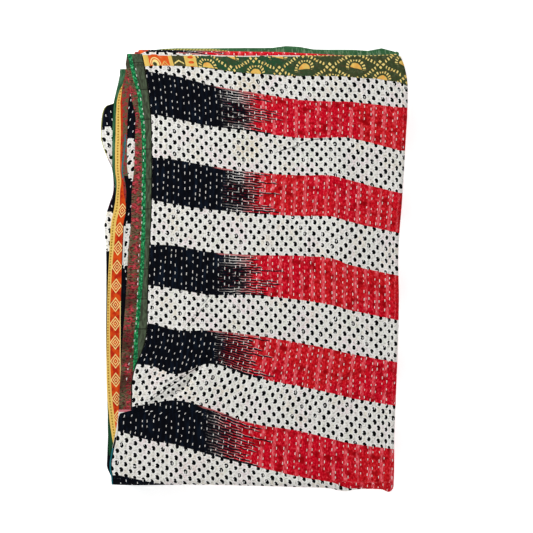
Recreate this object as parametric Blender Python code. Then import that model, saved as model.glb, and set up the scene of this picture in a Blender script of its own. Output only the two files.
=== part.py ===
"""A kantha quilt, folded in four across and in four along, lying flat as a soft packet.

The quilt is one thin cloth with bands sewn on along all four sides. Two zigzags fold it:
across, four layers turn at the right and once at the left; along, four runs of those
layers turn at the foot, the head and the foot again. A place on the cloth is given by how
far it lies across and down, each as a stretch of its zigzag and a share of that stretch.

Metres, +Z up, +Y towards the head. The origin is under the middle of the packet.
"""

import math
from collections import namedtuple

import bmesh
import bpy

CLOTH = 0.0018  # thickness of the stitched cloth
LAYER_GAP = 0.0007  # air between the layers of a run
RUN_GAP = 0.0009  # air between the runs
SEAM = 0.0003  # between a band and the cloth that it is sewn to
LAYERS = 4

PITCH = CLOTH + LAYER_GAP
RUN = (LAYERS - 1) * PITCH + CLOTH
RUN_PITCH = RUN + RUN_GAP
RUN_MIDDLES = [RUN / 2 + (LAYERS - 1 - k) * RUN_PITCH for k in range(LAYERS)]
HEIGHT = RUN_MIDDLES[0] + RUN / 2
OUTER_TURN = (LAYERS - 1) * PITCH / 2  # radius of the right turn round the inner one
INNER_TURN = PITCH / 2
FOOT_REACH = RUN_PITCH / 2 + RUN / 2  # from a turn's centre to its outside, along the quilt

QUILTING_PITCH = 0.0073  # between two rows of running stitch
QUILTING_DEPTH = 0.0007
SIDE_SHARE = 0.08  # share of the top layer's stretch that the side band takes
FAR_SHARE = 0.06  # share of the second layer's stretch that the far band takes
END_SHARE = 0.05  # share of the first run that the end band takes
FAR_END_SHARE = 0.06
FAR_SIDE_WIDTH = 0.019
FAR_END_WIDTH = 0.030
STEP_BACK = 0.004  # how far the lower layers' hems lie short of the top one's
LEFT_STEP_BACK = 0.0156  # how much more that is for the first run at the left
LEFT_STEP = (-0.160, -0.130)  # where it is all there, and where it starts
STEP_BACK_POWER = 8  # keeps that step near the hem
EDGE_FADE = 0.045  # the creases die away over this length before a turn

# Where the first run's edges lie: down from its hem, and the x of the top layer's open
# edge, its band's inner side, the second layer's open edge, the left fold of the two
# lowest layers and the outside of the right turns.
Edges = namedtuple("Edges", "down open_edge band second_edge fold turn")
TOP_RUN = (
    Edges(0.0000, -0.1645, -0.1450, -0.1734, -0.1684, 0.1918),
    Edges(0.0080, -0.1650, -0.1440, -0.1740, -0.1694, 0.1966),
    Edges(0.0260, -0.1661, -0.1416, -0.1743, -0.1718, 0.2008),
    Edges(0.0680, -0.1592, -0.1352, -0.1820, -0.1814, 0.2005),
    Edges(0.0720, -0.1582, -0.1349, -0.1821, -0.1915, 0.2004),
    Edges(0.0790, -0.1565, -0.1344, -0.1825, -0.1962, 0.1999),
    Edges(0.0940, -0.1534, -0.1332, -0.1832, -0.1988, 0.1989),
    Edges(0.1200, -0.1540, -0.1322, -0.1838, -0.1990, 0.1975),
    Edges(0.1440, -0.1545, -0.1318, -0.1840, -0.1917, 0.1962),
    Edges(0.1600, -0.1552, -0.1316, -0.1836, -0.1848, 0.1952),
    Edges(0.1900, -0.1581, -0.1320, -0.1796, -0.1832, 0.1934),
    Edges(0.2100, -0.1588, -0.1325, -0.1810, -0.1892, 0.1918),
    Edges(0.2320, -0.1592, -0.1331, -0.1852, -0.1949, 0.1901),
    Edges(0.2690, -0.1628, -0.1348, -0.1875, -0.1925, 0.1888),
    Edges(0.3210, -0.1655, -0.1371, -0.1898, -0.1922, 0.1895),
    Edges(0.3850, -0.1702, -0.1399, -0.1912, -0.1925, 0.1882),
    Edges(0.4300, -0.1730, -0.1562, -0.1914, -0.1918, 0.1864),
    Edges(0.4740, -0.1750, -0.1582, -0.1900, -0.1906, 0.1848),
    Edges(0.4765, -0.1752, -0.1584, -0.1898, -0.1905, 0.1847),
    Edges(0.4810, -0.1756, -0.1734, -0.1898, -0.1904, 0.1846),
    Edges(0.5030, -0.1788, -0.1766, -0.1897, -0.1898, 0.1837),
    Edges(0.5420, -0.1866, -0.1842, -0.1879, -0.1911, 0.1834),
    Edges(0.5530, -0.1870, -0.1848, -0.1873, -0.1910, 0.1833),
    Edges(0.5660, -0.1848, -0.1826, -0.1852, -0.1852, 0.1828),
)
# The same edges where the lower runs meet: at the foot, the head, the foot and the end.
MEETINGS = (
    TOP_RUN[-1],
    Edges(0.0, -0.1515, -0.1330, -0.1515, -0.1515, 0.1890),
    Edges(0.0, -0.1770, -0.1490, -0.1830, -0.1850, 0.1810),
    Edges(0.0, -0.1580, -0.1390, -0.1590, -0.1590, 0.1925),
)

# Where the packet ends along the quilt, at an x: the hem, the end band's width, the foot
# turn under it, the head turn, the lower foot turn and the far hem.
Ends = namedtuple("Ends", "x hem band foot head low_foot far_hem")
ENDS = (
    Ends(-0.1905, 0.2766, 0.0165, -0.2850, 0.2842, -0.2776, 0.2840),
    Ends(-0.1540, 0.2766, 0.0165, -0.2860, 0.2848, -0.2802, 0.2848),
    Ends(-0.1150, 0.2755, 0.0142, -0.2855, 0.2848, -0.2815, 0.2892),
    Ends(-0.0696, 0.2752, 0.0161, -0.2853, 0.2836, -0.2825, 0.2895),
    Ends(-0.0175, 0.2740, 0.0217, -0.2862, 0.2824, -0.2835, 0.2900),
    Ends(0.0280, 0.2744, 0.0250, -0.2873, 0.2820, -0.2843, 0.2903),
    Ends(0.0500, 0.2744, 0.0265, -0.2881, 0.2813, -0.2848, 0.2931),
    Ends(0.0780, 0.2744, 0.0265, -0.2888, 0.2797, -0.2854, 0.2882),
    Ends(0.1170, 0.2744, 0.0271, -0.2901, 0.2775, -0.2864, 0.2876),
    Ends(0.1310, 0.2744, 0.0284, -0.2905, 0.2771, -0.2868, 0.2878),
    Ends(0.1450, 0.2744, 0.0295, -0.2907, 0.2769, -0.2870, 0.2851),
    Ends(0.1600, 0.2748, 0.0305, -0.2909, 0.2767, -0.2870, 0.2882),
    Ends(0.1770, 0.2756, 0.0342, -0.2912, 0.2765, -0.2870, 0.2899),
    Ends(0.1880, 0.2762, 0.0360, -0.2910, 0.2763, -0.2866, 0.2868),
    Ends(0.1996, 0.2725, 0.0359, -0.2890, 0.2758, -0.2855, 0.2810),
)

# Soft swells of the whole packet and creases of its top layer: the middle, half the
# length and half the width, the turn of the length from +X and the rise at the top.
Swell = namedtuple("Swell", "x y half_long half_wide turn rise")
SWELLS = (
    Swell(0.010, -0.040, 0.210, 0.150, 90, 0.0030),
    Swell(0.106, 0.060, 0.120, 0.048, 95, 0.0022),
    Swell(-0.085, -0.120, 0.100, 0.045, 55, 0.0018),
)
CREASES = (
    Swell(-0.086, -0.112, 0.062, 0.017, 57, 0.0026),
    Swell(0.106, 0.070, 0.110, 0.020, 95, 0.0018),
    Swell(0.058, 0.164, 0.042, 0.014, 18, 0.0014),
)

# Where the top layer bulges out at the foot: the x, half the width and how far.
Bulge = namedtuple("Bulge", "x half_wide reach")
FOOT_BULGES = (
    Bulge(0.1180, 0.014, 0.0036),
    Bulge(0.1765, 0.006, 0.0034),
)

# Shares of the first and last stretches where the bands are sewn on.
LAYER_WIDTH = TOP_RUN[0].turn - TOP_RUN[0].band
RUN_LENGTH = TOP_RUN[-1].down
SIDE_CUT = SIDE_SHARE + SEAM / LAYER_WIDTH
FAR_CUT = 1 - FAR_SHARE - SEAM / LAYER_WIDTH
END_CUT = END_SHARE + SEAM / RUN_LENGTH
FAR_END_CUT = 1 - FAR_END_SHARE - SEAM / RUN_LENGTH

SIDE_ROWS = 4  # quilting rows on the side band
FIELD_ROWS = round(LAYER_WIDTH / QUILTING_PITCH)
PLAIN_CUTS = ((0.0, 1.0),) * 5
ACROSS_CUTS = ((0.0, SIDE_SHARE, SIDE_CUT, 1.0),) + PLAIN_CUTS + ((0.0, FAR_CUT, 1 - FAR_SHARE, 1.0),)
# The top run is also cut where its left edges step: above the bulge, at the band and low down.
EDGE_STEPS = tuple(down / RUN_LENGTH for down in (0.068, 0.074, 0.4765, 0.481, 0.553))
FIRST_CUTS = (0.0, END_SHARE, END_CUT) + EDGE_STEPS + (1.0,)
DOWN_CUTS = (FIRST_CUTS,) + PLAIN_CUTS + ((0.0, FAR_END_CUT, 1 - FAR_END_SHARE, 1.0),)
# Faces between the cuts of each stretch: over the top layer's face, under it and below.
LOWER_TAIL = ((6,), (6,), (4,), (6,), (4,), (6, 1, 2))
TOP_FACES = ((2 * SIDE_ROWS, 1, 2 * FIELD_ROWS),) + LOWER_TAIL
BACK_FACES = ((2, 1, 16),) + LOWER_TAIL
LOWER_FACES = ((2, 1, 8),) + LOWER_TAIL
DOWN_FACES = ((1, 1, 1, 1, 11, 1, 2, 1), (6,), (5,), (6,), (5,), (6,), (5, 1, 1))


def at(table, key, column, value):
    """The column of a table at a value of its key column, eased between the rows."""
    last = len(table) - 1
    k = 0
    while k < last - 1 and value > getattr(table[k + 1], key):
        k += 1
    before, low, high, after = (
        (getattr(table[min(max(i, 0), last)], key), getattr(table[min(max(i, 0), last)], column))
        for i in (k - 1, k, k + 1, k + 2)
    )
    span = high[0] - low[0]
    share = min(max((value - low[0]) / span, 0.0), 1.0)
    slope_low = (high[1] - before[1]) / (high[0] - before[0]) * span
    slope_high = (after[1] - low[1]) / (after[0] - low[0]) * span
    cube, square = share**3, share**2
    return (
        (2 * cube - 3 * square + 1) * low[1]
        + (cube - 2 * square + share) * slope_low
        + (3 * square - 2 * cube) * high[1]
        + (cube - square) * slope_high
    )


def mix(low, high, share):
    return low + (high - low) * share


def edge_x(column, down):
    """The x of one of the edges at a place down the quilt."""
    stretch, share = down
    if stretch == 0:
        return at(TOP_RUN, "down", column, share * TOP_RUN[-1].down)
    if stretch % 2:
        return getattr(MEETINGS[stretch // 2], column)
    before, after = MEETINGS[stretch // 2 - 1], MEETINGS[stretch // 2]
    return mix(getattr(before, column), getattr(after, column), share)


def across_place(across, down, side):
    """(x, height in the run) of a place across, on the front (1) or the back (-1)."""
    stretch, share = across
    turn_x = edge_x("turn", down) - OUTER_TURN - CLOTH / 2
    fold_x = edge_x("fold", down) + INNER_TURN + CLOTH / 2
    half = side * CLOTH / 2
    if stretch == 0:
        open_x, band_x = edge_x("open_edge", down), edge_x("band", down)
        if share < SIDE_SHARE:
            x = mix(open_x, band_x, share / SIDE_SHARE)
        else:
            x = mix(band_x, turn_x, (share - SIDE_SHARE) / (1 - SIDE_SHARE))
        return x, OUTER_TURN + half
    if stretch == 2:
        return mix(turn_x, fold_x, share), -OUTER_TURN - half
    if stretch == 4:
        return mix(fold_x, turn_x, share), -INNER_TURN + half
    if stretch == 6:
        open_x = edge_x("second_edge", down)
        band_x = open_x + FAR_SIDE_WIDTH
        if share < 1 - FAR_SHARE:
            x = mix(turn_x, band_x, share / (1 - FAR_SHARE))
        else:
            x = mix(band_x, open_x, (share - 1 + FAR_SHARE) / FAR_SHARE)
        return x, INNER_TURN - half
    angle = math.pi * share
    if stretch == 1:
        reach = OUTER_TURN + half
        return turn_x + reach * math.sin(angle), reach * math.cos(angle)
    if stretch == 3:
        reach = INNER_TURN + half
        return fold_x - reach * math.sin(angle), -PITCH - reach * math.cos(angle)
    reach = INNER_TURN - half
    return turn_x + reach * math.sin(angle), -reach * math.cos(angle)


def end_y(column, x):
    return at(ENDS, "x", column, x)


def down_place(down, x, height):
    """(y, z) of a place down the quilt, height over the middle of its run."""
    stretch, share = down
    run = stretch // 2
    middle = RUN_MIDDLES[run]
    foot = end_y("foot", x) + FOOT_REACH
    head = end_y("head", x) - FOOT_REACH
    low_foot = end_y("low_foot", x) + FOOT_REACH
    if stretch % 2:
        facing = 1 if run % 2 == 0 else -1
        centre = (foot, head, low_foot)[run]
        reach = RUN_PITCH / 2 + facing * height
        angle = math.pi * share
        return (
            centre - facing * reach * math.sin(angle),
            middle - RUN_PITCH / 2 + reach * math.cos(angle),
        )
    if run == 0:
        hem = end_y("hem", x)
        band = hem - end_y("band", x)
        if share < END_SHARE:
            return mix(hem, band, share / END_SHARE), middle + height
        return mix(band, foot, (share - END_SHARE) / (1 - END_SHARE)), middle + height
    if run == 1:
        return mix(foot, head, share), middle - height
    if run == 2:
        return mix(head, low_foot, share), middle + height
    hem = end_y("far_hem", x)
    band = hem - FAR_END_WIDTH
    if share < 1 - FAR_END_SHARE:
        return mix(low_foot, band, share / (1 - FAR_END_SHARE)), middle - height
    return mix(band, hem, (share - 1 + FAR_END_SHARE) / FAR_END_SHARE), middle - height


def rise_of(swells, x, y):
    total = 0.0
    for s in swells:
        turn = math.radians(s.turn)
        along = (x - s.x) * math.cos(turn) + (y - s.y) * math.sin(turn)
        aside = (y - s.y) * math.cos(turn) - (x - s.x) * math.sin(turn)
        total += s.rise * math.exp(-((along / s.half_long) ** 2) - (aside / s.half_wide) ** 2)
    return total


def foot_bulge(across, down, x):
    """How far the top layer bulges out at a place of the foot turn."""
    if down[0] != 1 or across[0] > 1:
        return 0.0
    reach = sum(b.reach * math.exp(-(((x - b.x) / b.half_wide) ** 2)) for b in FOOT_BULGES)
    return reach * math.sin(math.pi * down[1]) * (1 - across[0] * across[1])


def quilting(across, down, side):
    """The relief of the top layer's rows of running stitch: a groove at each row."""
    share = across[1]
    if side < 0 or share > 1 - 1 / FIELD_ROWS:
        return 0.0
    if share >= SIDE_CUT:
        rows = (share - SIDE_CUT) / (1 - SIDE_CUT) * FIELD_ROWS
        return -QUILTING_DEPTH / 2 * (1 + math.cos(2 * math.pi * rows))
    rows = share / SIDE_SHARE * SIDE_ROWS
    wide = (edge_x("band", down) - edge_x("open_edge", down)) / (SIDE_ROWS * QUILTING_PITCH)
    return -QUILTING_DEPTH / 2 * (1 + math.cos(2 * math.pi * rows)) * min(1.0, wide)


def place(across, down, side):
    """The point of the folded quilt at a place of its cloth."""
    x, height = across_place(across, down, side)
    y, z = down_place(down, x, height)
    if down[0] in (0, 6) and across[0] > 0:
        end_share, step_back = down[1], STEP_BACK
        if down[0] == 0:
            to_left = (LEFT_STEP[1] - x) / (LEFT_STEP[1] - LEFT_STEP[0])
            end_share = 1 - down[1]
            step_back += LEFT_STEP_BACK * min(max(to_left, 0.0), 1.0)
        y -= step_back * min(across[0] / 2, 1.0) * end_share**STEP_BACK_POWER
    y -= foot_bulge(across, down, x)
    z *= 1 + rise_of(SWELLS, x, y) / HEIGHT
    if down[0] == 0 and across[0] == 0:
        fade = min(1.0, (y - end_y("foot", x) - FOOT_REACH) / EDGE_FADE)
        fade *= min(1.0, (edge_x("turn", down) - x) / EDGE_FADE)
        z += max(0.0, fade) * rise_of(CREASES, x, y) + quilting(across, down, side)
    return x, y, z


def steps(cuts, faces, first, last):
    """Places (stretch, share) along a zigzag, with even faces between its cuts."""
    found = []
    for stretch, (marks, counts) in enumerate(zip(cuts, faces)):
        for low, high, count in zip(marks, marks[1:], counts):
            found += [(stretch, mix(low, high, k / count)) for k in range(count)]
    found.append((len(cuts) - 1, 1.0))
    return [step for step in found if first <= step <= last]


def strip(bm, one, two):
    """Faces between two rows of (place, vertex) that start and end at the same places."""
    i = j = 0
    while i < len(one) - 1 or j < len(two) - 1:
        next_one = one[i + 1][0] if i < len(one) - 1 else (99, 0)
        next_two = two[j + 1][0] if j < len(two) - 1 else (99, 0)
        if next_one == next_two:
            corners = (one[i], one[i + 1], two[j + 1], two[j])
            i, j = i + 1, j + 1
        elif next_one < next_two:
            corners = (one[i], one[i + 1], two[j])
            i += 1
        else:
            corners = (one[i], two[j + 1], two[j])
            j += 1
        bm.faces.new([vertex for _, vertex in corners])


def panel(name, colour, across, down):
    """One piece of the quilt, from one place to another across and down, as a solid."""
    top_front, top_back, lower = (
        steps(ACROSS_CUTS, faces, *across) for faces in (TOP_FACES, BACK_FACES, LOWER_FACES)
    )
    bm = bmesh.new()
    lines = []
    for step in steps(DOWN_CUTS, DOWN_FACES, *down):
        top = step <= (1, 0.0)
        line = {}
        for side, samples in ((1, top_front if top else lower), (-1, top_back if top else lower)):
            line[side] = [(s, bm.verts.new(place(s, step, side))) for s in samples]
        lines.append(line)
    for above, below in zip(lines, lines[1:]):
        for side in (1, -1):
            strip(bm, above[side], below[side])
        for end in (0, -1):
            bm.faces.new([above[1][end][1], above[-1][end][1], below[-1][end][1], below[1][end][1]])
    for line in (lines[0], lines[-1]):
        strip(bm, line[1], line[-1])
    bmesh.ops.triangulate(bm, faces=bm.faces[:])
    bmesh.ops.recalc_face_normals(bm, faces=bm.faces[:])
    mesh = bpy.data.meshes.new(name)
    bm.to_mesh(mesh)
    bm.free()
    mesh.shade_smooth()
    mesh.set_sharp_from_angle(angle=math.radians(40))
    obj = bpy.data.objects.new(name, mesh)
    mesh.materials.append(cloth_material(name, colour))
    bpy.data.collections["kantha_quilt"].objects.link(obj)
    return obj


def cloth_material(name, colour):
    material = bpy.data.materials.new(name)
    material.use_nodes = True
    shader = material.node_tree.nodes["Principled BSDF"]
    shader.inputs["Base Color"].default_value = (*colour, 1.0)
    shader.inputs["Roughness"].default_value = 0.9
    shader.inputs["Metallic"].default_value = 0.0
    return material


def clear_scene():
    for obj in list(bpy.data.objects):
        bpy.data.objects.remove(obj)
    bpy.context.scene.collection.children.link(bpy.data.collections.new("kantha_quilt"))


def quilt():
    near, far = (0, SIDE_CUT), (6, FAR_CUT)
    head, tail = (0, END_CUT), (6, FAR_END_CUT)
    start, end = (0, 0.0), (6, 1.0)
    panel("quilt_cloth", (0.60, 0.08, 0.09), (near, far), (head, tail))
    panel("end_band", (0.06, 0.10, 0.04), (near, far), (start, (0, END_SHARE)))
    panel("far_hem", (0.04, 0.13, 0.05), (near, far), ((6, 1 - FAR_END_SHARE), end))
    panel("side_band", (0.16, 0.05, 0.04), (start, (0, SIDE_SHARE)), (start, end))
    panel("far_band", (0.75, 0.20, 0.04), ((6, 1 - FAR_SHARE), end), (start, end))


clear_scene()
quilt()
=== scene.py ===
"""The looks of a kantha quilt, folded in four across and in four along.

Its cloth is striped black, red and dotted white and has printed bands sewn along its
sides. A place on the cloth is given by how far it lies across and down, each as a
stretch of the zigzag that folds it and a share of that stretch. Metres, +Z up.
"""

import math
from collections import namedtuple

import bmesh
import bpy
import numpy as np
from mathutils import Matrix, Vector


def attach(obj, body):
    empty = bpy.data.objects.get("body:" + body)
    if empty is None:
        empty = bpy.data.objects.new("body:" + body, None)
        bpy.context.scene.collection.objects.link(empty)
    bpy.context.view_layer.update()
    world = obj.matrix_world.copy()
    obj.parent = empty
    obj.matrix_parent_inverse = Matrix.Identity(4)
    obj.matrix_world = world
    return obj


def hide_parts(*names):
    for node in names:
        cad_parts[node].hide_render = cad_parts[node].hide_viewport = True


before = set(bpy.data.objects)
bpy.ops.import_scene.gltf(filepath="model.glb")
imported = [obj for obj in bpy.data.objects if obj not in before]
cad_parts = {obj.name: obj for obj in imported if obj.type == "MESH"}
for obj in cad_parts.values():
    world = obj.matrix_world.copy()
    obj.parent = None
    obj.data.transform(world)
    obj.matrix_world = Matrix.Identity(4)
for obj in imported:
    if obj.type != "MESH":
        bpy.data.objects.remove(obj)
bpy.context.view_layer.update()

# ---------------------------------------------------------------------------
# The folded quilt's sizes
# ---------------------------------------------------------------------------
CLOTH = 0.0018
LAYER_GAP = 0.0007
RUN_GAP = 0.0009
SEAM = 0.0003
LAYERS = 4

PITCH = CLOTH + LAYER_GAP
RUN = (LAYERS - 1) * PITCH + CLOTH
RUN_PITCH = RUN + RUN_GAP
RUN_MIDDLES = np.array([RUN / 2 + (LAYERS - 1 - k) * RUN_PITCH for k in range(LAYERS)])
HEIGHT = RUN_MIDDLES[0] + RUN / 2
OUTER_TURN = (LAYERS - 1) * PITCH / 2
INNER_TURN = PITCH / 2
FOOT_REACH = RUN_PITCH / 2 + RUN / 2

QUILTING_PITCH = 0.0073
QUILTING_DEPTH = 0.0008
STITCH_PITCH = 0.0100
STITCH_LENGTH = 0.0029
# The shares of a stretch that the bands take, and the widths of two of them.
SIDE_SHARE = 0.08
FAR_SHARE = 0.06
END_SHARE = 0.05
FAR_END_SHARE = 0.06
FAR_SIDE_WIDTH = 0.019
FAR_END_WIDTH = 0.030
# How far the ends of the lower layers step back, and how much more towards the left.
STEP_BACK = 0.004
LEFT_STEP_BACK = 0.0156
LEFT_STEP = (-0.160, -0.130)
STEP_BACK_POWER = 8
# How far in from the turns the broad creases fade out, then the fine ones and the quilting.
EDGE_FADE = 0.045
TURN_FADE = 0.012
# How high and how long the waves of the packet and of its top layer are.
PACKET_UNEVEN = 0.0006
PACKET_WAVE = 0.11
LAYER_UNEVEN = 0.0003
LAYER_WAVE = 0.031
PUCKER = 0.00016

# Where the edges lie at places down a run, x: the top layer's open edge and the seam of its
# band, the second layer's edge, the left fold of the lower layers, and the right turn.
Edges = namedtuple("Edges", "down open_edge band second_edge fold turn")
TOP_RUN = (
    Edges(0.0000, -0.1645, -0.1450, -0.1734, -0.1684, 0.1918),
    Edges(0.0080, -0.1650, -0.1440, -0.1740, -0.1694, 0.1966),
    Edges(0.0260, -0.1661, -0.1416, -0.1743, -0.1718, 0.2008),
    Edges(0.0680, -0.1592, -0.1352, -0.1820, -0.1814, 0.2005),
    Edges(0.0720, -0.1582, -0.1349, -0.1821, -0.1915, 0.2004),
    Edges(0.0790, -0.1565, -0.1344, -0.1825, -0.1962, 0.1999),
    Edges(0.0940, -0.1534, -0.1332, -0.1832, -0.1988, 0.1989),
    Edges(0.1200, -0.1540, -0.1322, -0.1838, -0.1990, 0.1975),
    Edges(0.1440, -0.1545, -0.1318, -0.1840, -0.1917, 0.1962),
    Edges(0.1600, -0.1552, -0.1316, -0.1836, -0.1848, 0.1952),
    Edges(0.1900, -0.1581, -0.1320, -0.1796, -0.1832, 0.1934),
    Edges(0.2100, -0.1588, -0.1325, -0.1810, -0.1892, 0.1918),
    Edges(0.2320, -0.1592, -0.1331, -0.1852, -0.1949, 0.1901),
    Edges(0.2690, -0.1628, -0.1348, -0.1875, -0.1925, 0.1888),
    Edges(0.3210, -0.1655, -0.1371, -0.1898, -0.1922, 0.1895),
    Edges(0.3850, -0.1702, -0.1399, -0.1912, -0.1925, 0.1882),
    Edges(0.4300, -0.1730, -0.1562, -0.1914, -0.1918, 0.1864),
    Edges(0.4740, -0.1750, -0.1582, -0.1900, -0.1906, 0.1848),
    Edges(0.4765, -0.1752, -0.1584, -0.1898, -0.1905, 0.1847),
    Edges(0.4810, -0.1756, -0.1734, -0.1898, -0.1904, 0.1846),
    Edges(0.5030, -0.1788, -0.1766, -0.1897, -0.1898, 0.1837),
    Edges(0.5420, -0.1866, -0.1842, -0.1879, -0.1911, 0.1834),
    Edges(0.5530, -0.1870, -0.1848, -0.1873, -0.1910, 0.1833),
    Edges(0.5660, -0.1848, -0.1826, -0.1852, -0.1852, 0.1828),
)
# The same where two runs meet: at the foot, the head and the foot again, and at the end.
MEETINGS = (
    TOP_RUN[-1],
    Edges(0.0, -0.1515, -0.1330, -0.1515, -0.1515, 0.1890),
    Edges(0.0, -0.1770, -0.1490, -0.1830, -0.1850, 0.1810),
    Edges(0.0, -0.1580, -0.1390, -0.1590, -0.1590, 0.1925),
)

# Where the ends lie at places across, y: the first hem, how wide its band is, the middles of
# the turns at the foot, the head and the foot again as their outsides show, and the last hem.
Ends = namedtuple("Ends", "x hem band foot head low_foot far_hem")
ENDS = (
    Ends(-0.1905, 0.2766, 0.0165, -0.2850, 0.2842, -0.2776, 0.2840),
    Ends(-0.1540, 0.2766, 0.0165, -0.2860, 0.2848, -0.2802, 0.2848),
    Ends(-0.1150, 0.2755, 0.0142, -0.2855, 0.2848, -0.2815, 0.2892),
    Ends(-0.0696, 0.2752, 0.0161, -0.2853, 0.2836, -0.2825, 0.2895),
    Ends(-0.0175, 0.2740, 0.0217, -0.2862, 0.2824, -0.2835, 0.2900),
    Ends(0.0280, 0.2744, 0.0250, -0.2873, 0.2820, -0.2843, 0.2903),
    Ends(0.0500, 0.2744, 0.0265, -0.2881, 0.2813, -0.2848, 0.2931),
    Ends(0.0780, 0.2744, 0.0265, -0.2888, 0.2797, -0.2854, 0.2882),
    Ends(0.1170, 0.2744, 0.0271, -0.2901, 0.2775, -0.2864, 0.2876),
    Ends(0.1310, 0.2744, 0.0284, -0.2905, 0.2771, -0.2868, 0.2878),
    Ends(0.1450, 0.2744, 0.0295, -0.2907, 0.2769, -0.2870, 0.2851),
    Ends(0.1600, 0.2748, 0.0305, -0.2909, 0.2767, -0.2870, 0.2882),
    Ends(0.1770, 0.2756, 0.0342, -0.2912, 0.2765, -0.2870, 0.2899),
    Ends(0.1880, 0.2762, 0.0360, -0.2910, 0.2763, -0.2866, 0.2868),
    Ends(0.1996, 0.2725, 0.0359, -0.2890, 0.2758, -0.2855, 0.2810),
)

# Swells of the packet and creases of its top layer: the middle, half the length, half
# the width, the turn of the length from +X and the rise.
Swell = namedtuple("Swell", "x y half_long half_wide turn rise")
SWELLS = (
    Swell(0.010, -0.040, 0.210, 0.150, 90, 0.0030),
    Swell(0.106, 0.060, 0.120, 0.048, 95, 0.0022),
    Swell(-0.085, -0.120, 0.100, 0.045, 55, 0.0018),
)
CREASES = (
    Swell(-0.086, -0.112, 0.062, 0.017, 57, 0.0026),
    Swell(0.106, 0.070, 0.110, 0.020, 95, 0.0018),
    Swell(0.058, 0.164, 0.042, 0.014, 18, 0.0014),
)
Bulge = namedtuple("Bulge", "x half_wide reach")
FOOT_BULGES = (
    Bulge(0.1180, 0.014, 0.0036),
    Bulge(0.1765, 0.006, 0.0034),
)
# Finer troughs and ridges of the top layer, which the solids leave out.
FINE_CREASES = (
    Swell(-0.010, 0.147, 0.022, 0.0022, 20, -0.0009),
    Swell(0.050, 0.1605, 0.026, 0.0024, 24, -0.0014),
    Swell(0.088, 0.1660, 0.016, 0.0030, 3, -0.0010),
    Swell(-0.058, 0.008, 0.038, 0.0060, 118, -0.0012),
    Swell(-0.040, -0.050, 0.045, 0.0065, 52, -0.0014),
    Swell(-0.074, -0.136, 0.030, 0.0030, 50, -0.0022),
    Swell(-0.094, -0.158, 0.026, 0.0028, 40, -0.0024),
    Swell(-0.126, -0.176, 0.026, 0.0030, 28, -0.0022),
    Swell(-0.100, -0.168, 0.030, 0.0026, 38, -0.0016),
    Swell(-0.112, -0.128, 0.040, 0.0070, 35, -0.0014),
    Swell(0.075, -0.010, 0.050, 0.0060, 80, -0.0009),
    Swell(0.090, -0.210, 0.060, 0.0080, 150, -0.0010),
    Swell(0.150, 0.105, 0.050, 0.0060, 145, -0.0008),
    Swell(-0.020, -0.245, 0.070, 0.0070, 172, -0.0010),
    Swell(0.168, -0.060, 0.120, 0.0080, 92, -0.0007),
)

# Sharp folds pressed into the top layer, painted as lines of shade: the middle, half the length,
# the turn of the length from +X, how far aside a second line lies and how dark the painted shade is.
Fold = namedtuple("Fold", "x y half_long turn second depth")
SHARP_FOLDS = (
    Fold(-0.1040, -0.1528, 0.047, 35.5, 0.0030, 0.85),
    Fold(-0.0700, -0.0600, 0.030, 51.0, 0.0036, 0.75),
    Fold(0.0520, 0.1560, 0.028, 20.0, 0.0, 0.90),
    Fold(0.0880, 0.1655, 0.016, 4.0, 0.0, 0.75),
    Fold(-0.1040, -0.0925, 0.034, 32.0, 0.0, 0.40),
)

# ---------------------------------------------------------------------------
# How the cloth is printed
# ---------------------------------------------------------------------------
STRIPE = 0.054  # width of a stripe: dark, then dotted white
# Where the stripes' edges lie on the top layer, y at nine places across.
STRIPE_X = np.array([-0.175, -0.135, -0.100, -0.056, -0.005, 0.060, 0.101, 0.125, 0.190])
STRIPE_EDGES = (
    (0.2560, 0.2530, 0.2474, 0.2357, 0.2270, 0.2165, 0.2144, 0.2140, 0.2070),
    (0.1990, 0.1980, 0.1918, 0.1824, 0.1760, 0.1670, 0.1675, 0.1672, 0.1510),
    (0.1470, 0.1425, 0.1385, 0.1303, 0.1230, 0.1183, 0.1180, 0.1120, 0.0955),
    (0.0910, 0.0870, 0.0800, 0.0741, 0.0690, 0.0657, 0.0648, 0.0580, 0.0433),
    (0.0330, 0.0290, 0.0267, 0.0186, 0.0150, 0.0138, 0.0107, 0.0020, -0.0122),
    (-0.0200, -0.0245, -0.0293, -0.0368, -0.0370, -0.0433, -0.0500, -0.0565, -0.0702),
    (-0.0720, -0.0740, -0.0826, -0.0832, -0.0885, -0.0994, -0.1075, -0.1132, -0.1252),
    (-0.1260, -0.1285, -0.1398, -0.1261, -0.1425, -0.1556, -0.1645, -0.1705, -0.1820),
    (-0.1850, -0.1785, -0.1736, -0.1846, -0.2030, -0.2140, -0.2240, -0.2298, -0.2386),
    (-0.2140, -0.2260, -0.2320, -0.2451, -0.2580, -0.2733, -0.2805, -0.2872, -0.3000),
    (-0.2715, -0.2800, -0.2880, -0.2970, -0.3120, -0.3280, -0.3360, -0.3430, -0.3580),
)
SLANT_OF_LAYERS = 0.0156  # how much lower the stripes lie at each fold of the layers
# Where the print starts across the top layer, x at places down it.
START_Y = np.array([-0.29, -0.25, -0.18, -0.13, -0.07, 0.03, 0.10, 0.20, 0.28])
START_X = np.array([-0.155, -0.154, -0.152, -0.138, -0.138, -0.136, -0.132, -0.133, -0.1413])
LEAN_STEP = 0.001  # how far aside the lean of the stripes is measured
FOLD_X = -0.19  # where the left fold would lie if it were straight
CURL = 0.005  # how much more cloth shows where the right edge turns down
CURL_CUT = 0.94
LOWER_OMBRE = 1.5  # how much shorter the change from black to red is below the top run
# How far along the print the head turn starts, over a whole number of repeats.
HEAD_PRINT = 20 * STRIPE
HEAD_X = np.array([-0.16, -0.075, -0.062, 0.02, 0.20])
HEAD_OFFSET = np.array([-0.0060, -0.0030, 0.0030, 0.0058, 0.0080])


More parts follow.
